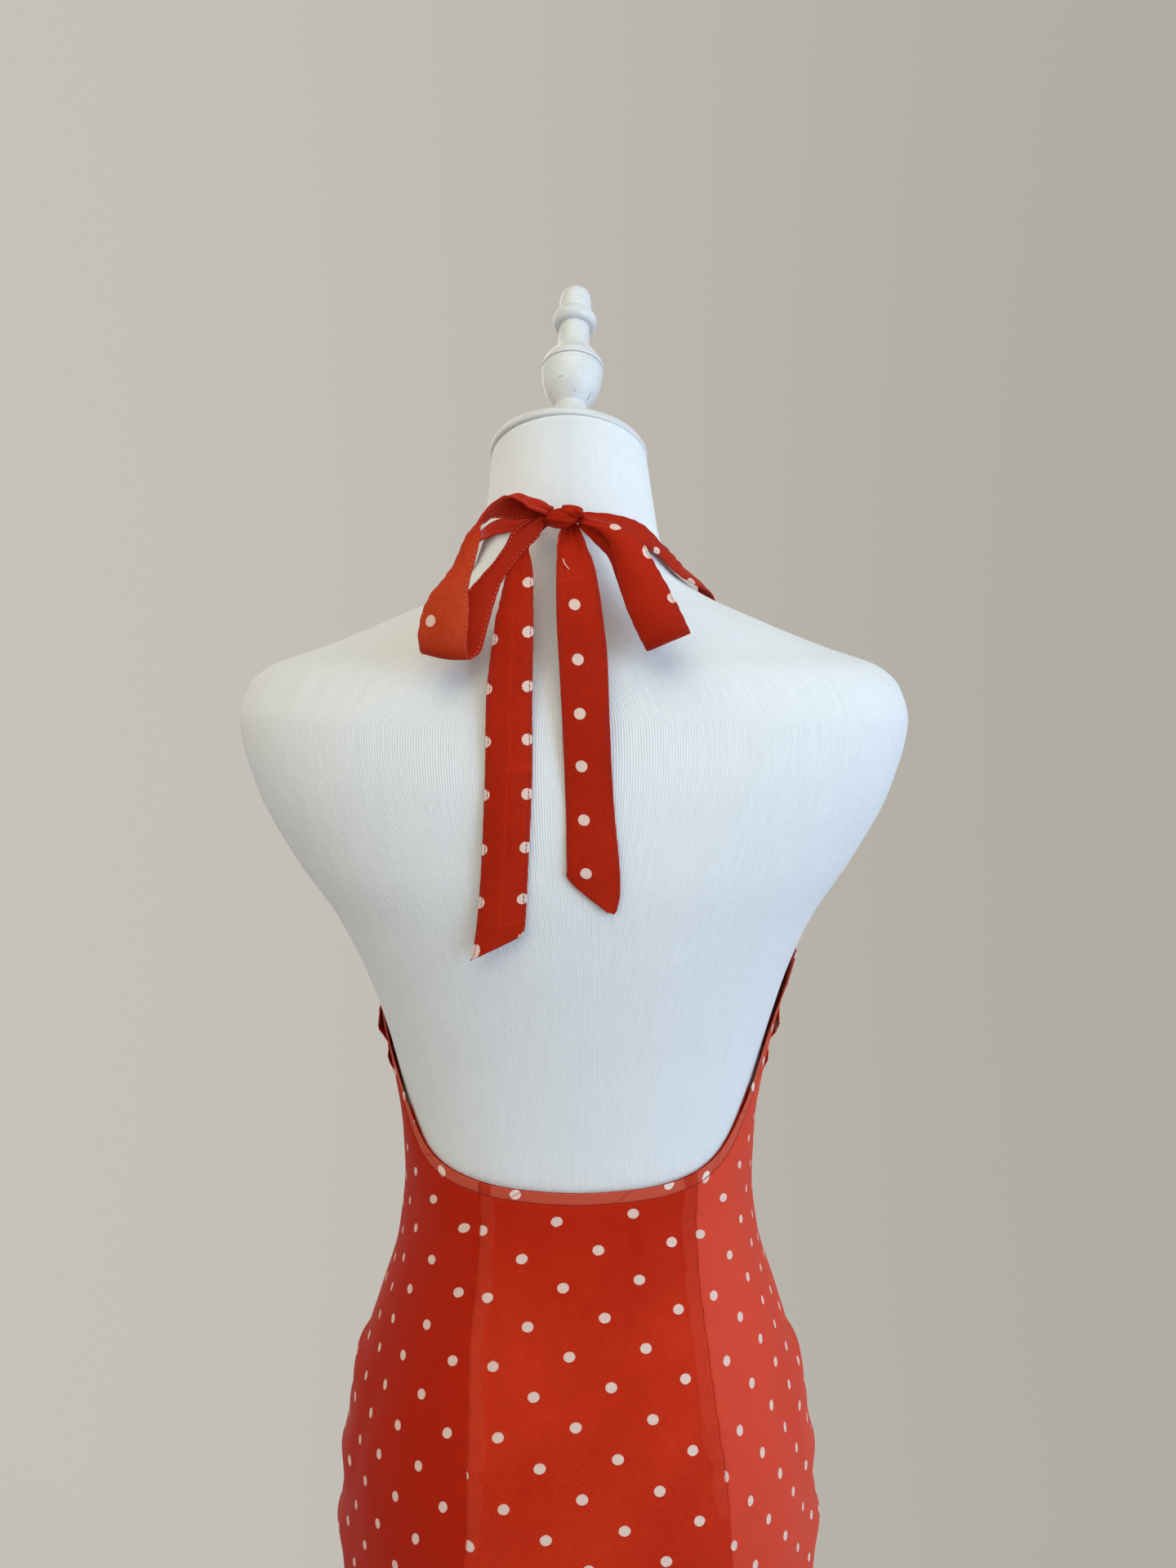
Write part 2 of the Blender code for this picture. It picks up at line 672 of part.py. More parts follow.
# The finial's turned profile: height up its axis and radius
FINIAL_PROFILE = (
    (0.0000, 0.0150),
    (0.0035, 0.0158),
    (0.0080, 0.0135),
    (0.0125, 0.0094),
    (0.0290, 0.0092),
    (0.0335, 0.0118),
    (0.0390, 0.0158),
    (0.0470, 0.0187),
    (0.0585, 0.0194),
    (0.0660, 0.0170),
    (0.0710, 0.0132),
    (0.0770, 0.0100),
    (0.0885, 0.0095),
    (0.0905, 0.0118),
    (0.0945, 0.0140),
    (0.0990, 0.0138),
    (0.1050, 0.0103),
    (0.1165, 0.0098),
    (0.1225, 0.0078),
    (0.1252, 0.0025),
)


def build_neck_cap(finish, base):
    profile = (
        (0.0, CAP_RADIUS - 0.0008),
        (0.0008, CAP_RADIUS),
        (CAP_THICKNESS - 0.0018, CAP_RADIUS),
        (CAP_THICKNESS - 0.0004, CAP_RADIUS - 0.0012),
        (CAP_THICKNESS, CAP_RADIUS - 0.0030),
    )
    return lathe("neck_cap", profile, finish, 32, base, CAP_TILT)


def build_stand(finish):
    """The pole, its collar under the torso and the round base."""
    base_profile = (
        (0.0, BASE_RADIUS - 0.002),
        (0.002, BASE_RADIUS),
        (BASE_HEIGHT - 0.008, BASE_RADIUS),
        (BASE_HEIGHT - 0.002, BASE_RADIUS - 0.004),
        (BASE_HEIGHT, BASE_RADIUS - 0.010),
    )
    lathe("base", base_profile, finish, 40)
    collar_foot = TORSO_BOTTOM - SEAM_GAP - COLLAR_HEIGHT
    pole_foot = BASE_HEIGHT + SEAM_GAP
    pole_profile = (
        (pole_foot, FLANGE_RADIUS),
        (pole_foot + FLANGE_HEIGHT, FLANGE_RADIUS),
        (pole_foot + FLANGE_HEIGHT + FLANGE_SLOPE, POLE_RADIUS),
        (collar_foot - SEAM_GAP, POLE_RADIUS),
    )
    lathe("pole", pole_profile, finish, 16)
    collar_profile = (
        (collar_foot, COLLAR_RADIUS - COLLAR_CHAMFER),
        (collar_foot + COLLAR_CHAMFER, COLLAR_RADIUS),
        (TORSO_BOTTOM - SEAM_GAP, COLLAR_RADIUS),
    )
    lathe("collar", collar_profile, finish, 20)


def clear_scene():
    for item in list(bpy.data.objects):
        bpy.data.objects.remove(item, do_unlink=True)


def main():
    clear_scene()
    cloth = material("dress_cloth", (0.55, 0.035, 0.012), 0.6)
    jersey = material("form_jersey", (0.80, 0.80, 0.78), 0.85)
    wood = material("painted_wood", (0.78, 0.78, 0.76), 0.45)
    metal = material("stand_metal", (0.75, 0.75, 0.74), 0.4)
    torso = build_torso(jersey)
    tree = BVHTree.FromPolygons([vertex.co.copy() for vertex in torso.data.vertices],
                                [tuple(face.vertices) for face in torso.data.polygons])
    build_front(cloth)
    build_back(cloth)
    build_facing(cloth)
    build_tie("strap_left", STRAP_LEFT, cloth, tree, 22, FOLDED_CLOTH)
    build_tie("strap_right", STRAP_RIGHT, cloth, tree, 22, FOLDED_CLOTH)
    build_tie("bow_loop_left", LOOP_LEFT, cloth, tree, 30)
    build_tie("bow_loop_right", LOOP_RIGHT, cloth, tree, 28)
    build_tie("tail_left", TAIL_LEFT, cloth, tree, 20)
    build_tie("tail_right", TAIL_RIGHT, cloth, tree, 20)
    build_knot(cloth)
    lean = math.radians(CAP_TILT)
    axis = Vector((0.0, -math.sin(lean), math.cos(lean)))
    neck_centre = Vector((0.0, 0.0, NECK_TOP))
    cap_base = neck_centre + axis * SEAM_GAP
    build_neck_cap(wood, cap_base)
    lathe("finial", FINIAL_PROFILE, wood, 20, cap_base + axis * (CAP_THICKNESS + SEAM_GAP), CAP_TILT)
    build_stand(metal)


main()
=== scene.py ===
"""A halter midi dress with a low back, tied in a bow at the nape, on a limbless dress form.

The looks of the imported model, in its own frame: the garment's front faces -Y, its back +Y, the
wearer's left is +X and the floor is z = 0. Lengths are metres and angles degrees. An angle round
the body is 0 at the front, 90 at the wearer's left side and 180 at the back.
"""
import math

import bpy
import numpy as np
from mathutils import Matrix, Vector


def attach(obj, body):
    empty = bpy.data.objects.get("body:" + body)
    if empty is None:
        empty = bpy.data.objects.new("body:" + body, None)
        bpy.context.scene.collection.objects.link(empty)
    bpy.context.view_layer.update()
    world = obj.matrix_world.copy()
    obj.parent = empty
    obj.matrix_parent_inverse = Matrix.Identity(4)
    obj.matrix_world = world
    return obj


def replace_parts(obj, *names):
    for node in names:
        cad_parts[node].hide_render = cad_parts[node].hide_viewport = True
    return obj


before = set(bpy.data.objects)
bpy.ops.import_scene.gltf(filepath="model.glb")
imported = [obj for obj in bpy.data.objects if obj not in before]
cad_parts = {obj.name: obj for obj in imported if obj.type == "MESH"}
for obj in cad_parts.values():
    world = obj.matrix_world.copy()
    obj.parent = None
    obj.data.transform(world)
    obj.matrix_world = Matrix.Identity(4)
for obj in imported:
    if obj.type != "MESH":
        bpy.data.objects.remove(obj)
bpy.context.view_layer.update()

# The camera of the photograph
CAMERA_PLACE = (-0.0085, 0.72, 1.415)
CAMERA_PITCH = 6.7
CAMERA_SENSOR = 36.0
CAMERA_FOCAL_PIXELS = 1445.0
IMAGE_HEIGHT = 1920.0

# The figure and the hang of the skirt below it:
# height, half width, depth to the front, depth to the back, squareness of the section
FIGURE = (
    (0.350, 0.1860, 0.1090, 0.1220, 2.0),
    (0.450, 0.1760, 0.1060, 0.1190, 2.0),
    (0.550, 0.1670, 0.1030, 0.1165, 2.0),
    (0.650, 0.1590, 0.1000, 0.1145, 2.05),
    (0.720, 0.1530, 0.0980, 0.1130, 2.1),
    (0.780, 0.1480, 0.0960, 0.1120, 2.2),
    (0.840, 0.1490, 0.0980, 0.1160, 2.2),
    (0.880, 0.1475, 0.1000, 0.1170, 2.2),
    (0.920, 0.1445, 0.1010, 0.1120, 2.2),
    (0.960, 0.1370, 0.1000, 0.1030, 2.2),
    (1.000, 0.1250, 0.0960, 0.0920, 2.2),
    (1.050, 0.1105, 0.0890, 0.0810, 2.2),
    (1.090, 0.1060, 0.0840, 0.0750, 2.2),
    (1.120, 0.1070, 0.0840, 0.0740, 2.2),
    (1.164, 0.1140, 0.0870, 0.0760, 2.2),
    (1.207, 0.1260, 0.0920, 0.0810, 2.2),
    (1.249, 0.1440, 0.0960, 0.0870, 2.2),
    (1.290, 0.1710, 0.0940, 0.0910, 2.2),
    (1.330, 0.1920, 0.0860, 0.0900, 2.2),
    (1.371, 0.2020, 0.0740, 0.0840, 2.15),
    (1.390, 0.1970, 0.0670, 0.0790, 2.0),
    (1.402, 0.1850, 0.0620, 0.0750, 1.9),
    (1.414, 0.1520, 0.0570, 0.0705, 1.75),
    (1.430, 0.1120, 0.0520, 0.0640, 1.7),
    (1.449, 0.0715, 0.0475, 0.0560, 1.85),
    (1.464, 0.0560, 0.0460, 0.0520, 2.0),
    (1.490, 0.0485, 0.0465, 0.0490, 2.0),
    (1.530, 0.0465, 0.0465, 0.0465, 2.0),
)
BUST_HEIGHT = 1.225
BUST_ANGLE = 36.0
BUST_RISE = 0.024
BUST_SPREAD_ANGLE = 19.0
BUST_SPREAD_HEIGHT = 0.040
BUST_SIDEWAYS = 0.55
BUST_DIP = 0.25
NECK_TILT_START = 1.455
NECK_TOP = 1.5235
CAP_TILT = 25.0
SIDE_LEAN = 0.0025
SIDE_LEAN_TOP = 1.300
SIDE_LEAN_LENGTH = 0.150
TORSO_BOTTOM = 0.775
HEM_HEIGHT = 0.350

# Top edge of the front panel: angle from the centre front, height on the wearer's right and left
FRONT_TOP = (
    (0.0, 1.236, 1.236),
    (7.0, 1.278, 1.278),
    (13.0, 1.328, 1.328),
    (18.5, 1.385, 1.385),
    (25.5, 1.385, 1.385),
    (31.0, 1.338, 1.336),
    (38.0, 1.301, 1.297),
    (47.0, 1.272, 1.264),
    (58.0, 1.252, 1.238),
    (70.0, 1.240, 1.216),
    (81.0, 1.234, 1.200),
    (90.0, 1.227, 1.189),
)
# Top edge of the back panel: angle from the centre back, height on the wearer's right and left
BACK_TOP = (
    (0.0, 1.1035, 1.1035),
    (20.0, 1.1050, 1.1050),
    (35.0, 1.1085, 1.1080),
    (45.0, 1.1140, 1.1115),
    (55.0, 1.1260, 1.1190),
    (63.0, 1.1440, 1.1330),
    (71.0, 1.1710, 1.1530),
    (80.0, 1.2050, 1.1740),
    (90.0, 1.2270, 1.1890),
)
# How far the cloth stands off the figure: height, stand-off
EASE = (
    (0.350, 0.0040),
    (0.800, 0.0034),
    (0.960, 0.0030),
    (1.050, 0.0022),
    (1.110, 0.0028),
    (1.190, 0.0028),
    (1.230, 0.0044),
    (1.255, 0.0040),
    (1.300, 0.0030),
    (1.450, 0.0018),
)
PUCKER_REACH = 17.0
GATHER_REACH = 24.0
# Puckers along each side seam over the hip: height, how far out, half length along the seam
HIP_PUCKERS = (
    (0.958, 0.0030, 0.013),
    (0.908, 0.0028, 0.015),
    (0.856, 0.0038, 0.014),
)
# Gathers eased into the side seam by the bust: height, how far out, half length along the seam
BUST_GATHERS = (
    (1.205, 0.0018, 0.007),
    (1.180, 0.0052, 0.010),
    (1.156, 0.0034, 0.008),
    (1.136, 0.0020, 0.007),
)
# Soft folds of the hanging skirt: angle, depth at the hem, half width in degrees, height it starts
SKIRT_FOLDS = (
    (12.0, 0.022, 10.5, 0.78),
    (45.0, 0.030, 11.5, 0.84),
    (76.0, 0.024, 10.0, 0.80),
    (112.0, 0.028, 10.5, 0.84),
    (146.0, 0.024, 11.5, 0.76),
    (173.0, 0.019, 9.5, 0.70),
    (205.0, 0.028, 11.5, 0.82),
    (238.0, 0.022, 10.5, 0.74),
    (263.0, 0.027, 9.5, 0.82),
    (301.0, 0.025, 11.5, 0.80),
    (336.0, 0.028, 10.5, 0.86),
)
# The folded intake of each back dart: height, angle of its seam from the centre back, and the
# width of the intake in degrees, which lies folded towards the centre
DART_LEFT = (
    (1.100, 29.5, 4.2),
    (1.030, 29.0, 4.0),
    (0.960, 24.5, 3.4),
    (0.905, 23.0, 2.6),
    (0.855, 23.5, 1.2),
)
DART_RIGHT = (
    (1.100, 38.0, 4.6),
    (1.030, 36.0, 4.2),
    (0.960, 34.0, 3.4),
    (0.905, 34.0, 2.4),
    (0.860, 35.0, 1.0),
)
DART_TIP_LEFT = 0.905
DART_TIP_RIGHT = 0.920
FACING_STRETCH = 2.2
FACING_END = 66.0
WAIST_RADIUS = 0.110
WAIST_HEIGHT = 1.10
FRONT_STRETCH = 3.0
# The halter points' inner and outer ends, as angles from the centre front
HALTER_INNER = 18.5
HALTER_OUTER = 25.5
# Columns of the back's half from its centre: plain, margin, intake, margin, plain. The margins' width
BACK_BANDS = (16, 6, 7, 6, 54)
DART_MARGIN = 3.0
# How far out a dart's layers and ripples lie, how far in its seam, and the ripples' pitch
DART_LAYERS = 0.00045
DART_RIPPLE = 0.00050
DART_SEAM = 0.00055
DART_RIPPLE_PITCH = 0.017
# Puckers down each side seam, and small gathers that fan from it below the bust
PUCKER_PITCH = 0.0265
PUCKER_RISE = 0.00085
FAN_COUNT = 6
FAN_START = 1.128
FAN_STEP = 0.016
FAN_RISE = 0.0009

# Cloth
CLOTH_THICKNESS = 0.0006
CLOTH_MIDDLE = 0.0006
DOT_SPACING = 0.0288
DOT_RADIUS = 0.0031
STRIP_WIDTH = 0.0065
EDGE_STITCH = 0.0069
# Distances below an edge of the rows next to it
EDGE_ROWS = (0.0, 0.0008, 0.0022, 0.0038, 0.0054, 0.0064, 0.0070, 0.0076, 0.0090, 0.0115)
# Half the gap between the front and the back at each side seam, as an angle
SIDE_GAP = math.degrees(0.00015 / WAIST_RADIUS)
# Above this height a panel's rows are close, below it they are further apart
KNEE_HEIGHT = 0.80
BACK_ROWS = (92, 82)
FRONT_ROWS = (84, 70)
EDGE_STITCH_ROW = 6
HEM_STITCH_ROW = -3
PANEL_STITCH_PITCH = 0.0024


def between(table, value, column):
    """Smooth value of a table's column, without overshoot between its rows."""
    rows = np.array(sorted(table))
    x, y = rows[:, 0], rows[:, column]
    value = np.clip(value, x[0], x[-1])
    i = np.clip(np.searchsorted(x, value, side="right") - 1, 0, len(x) - 2)
    step = np.diff(x)
    chord = np.diff(y) / step
    slope = np.empty(len(x))
    slope[0], slope[-1] = chord[0], chord[-1]
    product = chord[:-1] * chord[1:]
    total = np.where(product > 0.0, chord[:-1] + chord[1:], 1.0)
    slope[1:-1] = np.where(product > 0.0, 2.0 * product / total, 0.0)
    s = (value - x[i]) / step[i]
    return (
        y[i] * (1 + 2 * s) * (1 - s) ** 2
        + slope[i] * step[i] * s * (1 - s) ** 2
        + y[i + 1] * s * s * (3 - 2 * s)
        + slope[i + 1] * step[i] * s * s * (s - 1)
    )


def bell(distance, spread):
    """A soft bump that is 1 at no distance and falls to nothing."""
    return np.exp(-((distance / spread) ** 2))


def turned(angle, other):
    """The smallest turn between two angles, in degrees."""
    return (angle - other + 180.0) % 360.0 - 180.0


def from_side_seam(angle):
    """How far round an angle is from the nearer side seam."""
    return np.abs(np.abs(turned(angle, 0.0)) - 90.0)


def smooth_step(value):
    value = np.clip(value, 0.0, 1.0)
    return value * value * (3.0 - 2.0 * value)


def power(value, exponent):
    return np.copysign(np.abs(value) ** exponent, value)


def figure_points(angle, height, dip=1.0):
    """Points on the figure, or on the line along which the skirt hangs below it.

    dip is how far the surface falls back between the two sides of the bust.
    """
    angle, height = np.broadcast_arrays(np.asarray(angle, float), np.asarray(height, float))
    square = between(FIGURE, height, 4)
    across = power(np.sin(np.radians(angle)), 2.0 / square)
    along = power(-np.cos(np.radians(angle)), 2.0 / square)
    depth = np.where(along < 0, between(FIGURE, height, 2), between(FIGURE, height, 3))
    x = between(FIGURE, height, 1) * across
    y = depth * along
    side = np.abs(turned(angle, 0.0))
    near_bust = bell(side - BUST_ANGLE, BUST_SPREAD_ANGLE)
    near_bust = np.where(side < BUST_ANGLE, 1.0 - dip * (1.0 - near_bust), near_bust)
    rise = BUST_RISE * near_bust * bell(height - BUST_HEIGHT, BUST_SPREAD_HEIGHT)
    x = x + rise * np.sin(np.radians(angle)) * BUST_SIDEWAYS
    x = x - SIDE_LEAN * smooth_step((SIDE_LEAN_TOP - height) / SIDE_LEAN_LENGTH)
    y = y - rise
    share = smooth_step((height - NECK_TILT_START) / (NECK_TOP - NECK_TILT_START))
    tilt = np.radians(CAP_TILT) * share
    return np.stack((x, y * np.cos(tilt), height + y * np.sin(tilt)), axis=-1)


def outward(angle, height, dip):
    """Unit normals of the figure."""
    turn = figure_points(angle + 0.5, height, dip) - figure_points(angle - 0.5, height, dip)
    rise = figure_points(angle, height + 0.002, dip) - figure_points(angle, height - 0.002, dip)
    normal = np.cross(turn, rise)
    return normal / np.linalg.norm(normal, axis=-1, keepdims=True)


def stand_off(angle, height):
    """Distance from the figure to the inside of the cloth."""
    off = between(EASE, height, 1)
    from_seam = from_side_seam(angle)
    for centre, depth, half in HIP_PUCKERS:
        off = off + depth * bell(height - centre, half) * bell(from_seam, PUCKER_REACH)
    front = np.abs(turned(angle, 0.0)) <= 90.0
    for centre, depth, half in BUST_GATHERS:
        gather = depth * bell(height - centre, half) * bell(from_seam, GATHER_REACH)
        off = off + np.where(front, gather, 0.0)
    for centre, depth, half, start in SKIRT_FOLDS:
        drop = smooth_step((start - height) / (start - HEM_HEIGHT))
        off = off + depth * drop * bell(turned(angle, centre), half)
    return off


def cloth_points(angle, height, out=0.0):
    """Points of the worn cloth, a distance outside its inner face."""
    angle, height = np.broadcast_arrays(np.asarray(angle, float), np.asarray(height, float))
    off = stand_off(angle, height) + out
    return figure_points(angle, height, BUST_DIP) + outward(angle, height, BUST_DIP) * off[..., None]


def front_top(angle):
    """Height of the front panel's edge at an angle from the centre front, plus to the left."""
    side = np.abs(angle)
    return np.where(angle < 0, between(FRONT_TOP, side, 1), between(FRONT_TOP, side, 2))


def back_top(angle):
    """Height of the back panel's edge at an angle from the centre back, plus to the right."""
    side = np.abs(angle)
    return np.where(angle > 0, between(BACK_TOP, side, 1), between(BACK_TOP, side, 2))


# Materials

# Each colour here is red, green, blue and 1
RED_DEEP = (0.42, 0.0145, 0.0026, 1.0)
RED_LIGHT = (0.58, 0.0315, 0.0078, 1.0)
RED_TIE_DEEP = (0.30, 0.0095, 0.0020, 1.0)
RED_TIE_LIGHT = (0.43, 0.0185, 0.0042, 1.0)
# A lighter red for a painted sheen on the side the light falls on
RED_PAINTED_SHEEN = (0.64, 0.060, 0.031, 1.0)
# A darker red for painted shade
RED_PAINTED_SHADE = (0.405, 0.0115, 0.0015, 1.0)
RED_DOUBLE = (0.54, 0.078, 0.042, 1.0)
# Lighter reds for the left loop's outer face, a painted highlight
RED_LOOP_PAINTED_LIT_DEEP = (0.40, 0.028, 0.0060, 1.0)
RED_LOOP_PAINTED_LIT_LIGHT = (0.56, 0.058, 0.0150, 1.0)
RED_THREAD = (0.33, 0.012, 0.004, 1.0)
DOT_CREAM = (0.66, 0.43, 0.345, 1.0)
DOT_BRIGHT = (0.84, 0.63, 0.54, 1.0)
SHEEN_TINT = (1.0, 0.70, 0.62, 1.0)
SHINE_TINT = (1.0, 0.55, 0.45, 1.0)
# The cloths of the panels, of the ties, of the left loop, and of the facing and the knot: the
# material's name, its darker and its lighter red
CLOTHS = {
    "back": ("printed_crepe_back", RED_DEEP, RED_LIGHT),
    "front": ("printed_crepe_front", RED_DEEP, RED_LIGHT),
    "tie": ("printed_crepe_tie", RED_TIE_DEEP, RED_TIE_LIGHT),
    # The left loop's reds are lighter copies of the ties', a painted highlight
    "loop": ("printed_crepe_loop_painted_highlight", RED_LOOP_PAINTED_LIT_DEEP, RED_LOOP_PAINTED_LIT_LIGHT),
    "plain": ("printed_crepe", RED_TIE_DEEP, RED_TIE_LIGHT),
}
# A darker and a lighter colour of each other finish
THREAD_RED = ((0.085, 0.006, 0.003, 1.0), (0.22, 0.012, 0.005, 1.0))
# The left loop's lighter thread is a painted highlight, where its stitches catch the light
THREAD_PAINTED_HIGHLIGHT = ((0.50, 0.060, 0.030, 1.0), (0.70, 0.16, 0.10, 1.0))
THREAD_WHITE = ((0.70, 0.60, 0.54, 1.0), (0.90, 0.84, 0.80, 1.0))
JERSEY_BODY = ((0.665, 0.660, 0.645, 1.0), (0.775, 0.775, 0.765, 1.0))
# The neck's lighter jersey colours are a painted highlight
JERSEY_NECK_PAINTED_LIGHT = ((0.77, 0.765, 0.745, 1.0), (0.88, 0.88, 0.865, 1.0))
WOOD_PAINT = ((0.56, 0.55, 0.53, 1.0), (0.64, 0.64, 0.625, 1.0))
METAL_PAINT = ((0.70, 0.70, 0.69, 1.0), (0.76, 0.76, 0.75, 1.0))
FLOOR_PAINT = ((0.60, 0.585, 0.55, 1.0), (0.66, 0.645, 0.61, 1.0))
PAINT_CHIP = (0.42, 0.38, 0.33, 1.0)
PAINT_NICK = (0.10, 0.095, 0.09, 1.0)

YARN_PITCH = 0.00042
RIB_PITCH = 0.00095
# Heights between which the body's jersey colour turns into the neck's lighter one, a painted highlight where
# more light falls on the neck
NECK_PAINTED_LIGHT_HEIGHTS = (1.435, 1.480)
# Dots on the strip along the back's edge: distance round from the centre, distance below the edge
STRIP_DOTS = ((-0.0856, 0.0044), (0.0536, 0.0004), (0.0795, 0.0062))
# How strong the painted shade is beside the left dart, and across the top between two heights
SIDE_PAINTED_SHADE = 0.80
TOP_PAINTED_SHADE = 0.55
TOP_PAINTED_SHADE_HEIGHTS = (1.02, 1.09)


class Value:
    """A number in a node tree. Plain arithmetic on it adds the nodes."""

    def __init__(self, nodes, socket):
        self.nodes = nodes
        self.socket = socket

    def __add__(self, other):
        return self.nodes.math("ADD", self, other)

    def __sub__(self, other):
        return self.nodes.math("SUBTRACT", self, other)

    def __rsub__(self, other):
        return self.nodes.math("SUBTRACT", other, self)

    def __mul__(self, other):
        return self.nodes.math("MULTIPLY", self, other)

    def __abs__(self):
        return self.nodes.math("ABSOLUTE", self)


class Nodes:
    """A short way to write a material's node tree."""

    def __init__(self, owner):
        owner.use_nodes = True
        self.material = owner
        self.tree = owner.node_tree
        self.shader = self.tree.nodes.get("Principled BSDF")

    def add(self, kind, inputs=None, **settings):
        node = self.tree.nodes.new(kind)
        for key, value in settings.items():
            setattr(node, key, value)
        for key, value in (inputs or {}).items():
            self.put(value, node.inputs[key])
        return node

    def put(self, value, socket):
        if isinstance(value, Value):
            value = value.socket
        if isinstance(value, bpy.types.NodeSocket):
            self.tree.links.new(value, socket)
        else:
            socket.default_value = value

    def set(self, **sockets):
        for key, value in sockets.items():
            self.put(value, self.shader.inputs[key.replace("_", " ")])

    def math(self, operation, a, b=0.0):
        return Value(self, self.add("ShaderNodeMath", {0: a, 1: b}, operation=operation).outputs[0])

    def vector(self, operation, inputs, output=0):
        return self.add("ShaderNodeVectorMath", inputs, operation=operation).outputs[output]

    def length(self, a, b):
        return self.math("SQRT", a * a + b * b)

    def step(self, value, low, high):
        """0 below low and 1 above high, smoothly."""
        inputs = {"Value": value, "From Min": low, "From Max": high}
        node = self.add("ShaderNodeMapRange", inputs, interpolation_type="SMOOTHSTEP")
        return Value(self, node.outputs["Result"])

    def fall(self, value, low, high):
        """1 below low and 0 above high, smoothly."""
        return 1.0 - self.step(value, low, high)

    def rescale(self, value, low, high):
        node = self.add("ShaderNodeMapRange", {"Value": value, "To Min": low, "To Max": high})
        return Value(self, node.outputs["Result"])

    def split(self, vector):
        """The three numbers of a vector."""
        node = self.add("ShaderNodeSeparateXYZ", {0: vector})
        return [Value(self, output) for output in node.outputs]

    def uv(self, name):
        vector = self.add("ShaderNodeUVMap", uv_map=name).outputs[0]
        return [vector] + self.split(vector)[:2]

    def place(self):
        return self.add("ShaderNodeTexCoord").outputs["Object"]

    def noise(self, vector, scale, detail=3.0, roughness=0.5):
        inputs = {"Vector": vector, "Scale": scale, "Detail": detail, "Roughness": roughness}
        return Value(self, self.add("ShaderNodeTexNoise", inputs).outputs["Fac"])

    def streaks(self, vector, scales, detail=3.0, roughness=0.5):
        """Noise with a scale of its own along each axis."""
        return self.noise(self.vector("MULTIPLY", {0: vector, 1: scales}), 1.0, detail, roughness)

    def mix(self, factor, a, b):
        return self.add("ShaderNodeMix", {0: factor, 6: a, 7: b}, data_type="RGBA").outputs[2]

    def mark(self, place, start, end, width):
        """1 on a short straight scratch between two points, 0 away from it."""
        start, end = np.array(start), np.array(end)
        length = float(np.linalg.norm(end - start))
        along = tuple((end - start) / length)
        offset = self.vector("SUBTRACT", {0: place, 1: tuple(start)})
        dot = self.vector("DOT_PRODUCT", {0: offset, 1: along}, "Value")
        near = self.math("MINIMUM", self.math("MAXIMUM", dot, 0.0), length)
        reach = self.vector("SCALE", {0: along, "Scale": near})
        away = self.vector("DISTANCE", {0: offset, 1: reach}, "Value")
        return self.fall(away, 0.4 * width, width)

    def bump(self, height, distance, strength=1.0):
        node = self.add("ShaderNodeBump", {"Height": height, "Distance": distance, "Strength": strength})
        self.put(node.outputs[0], self.shader.inputs["Normal"])


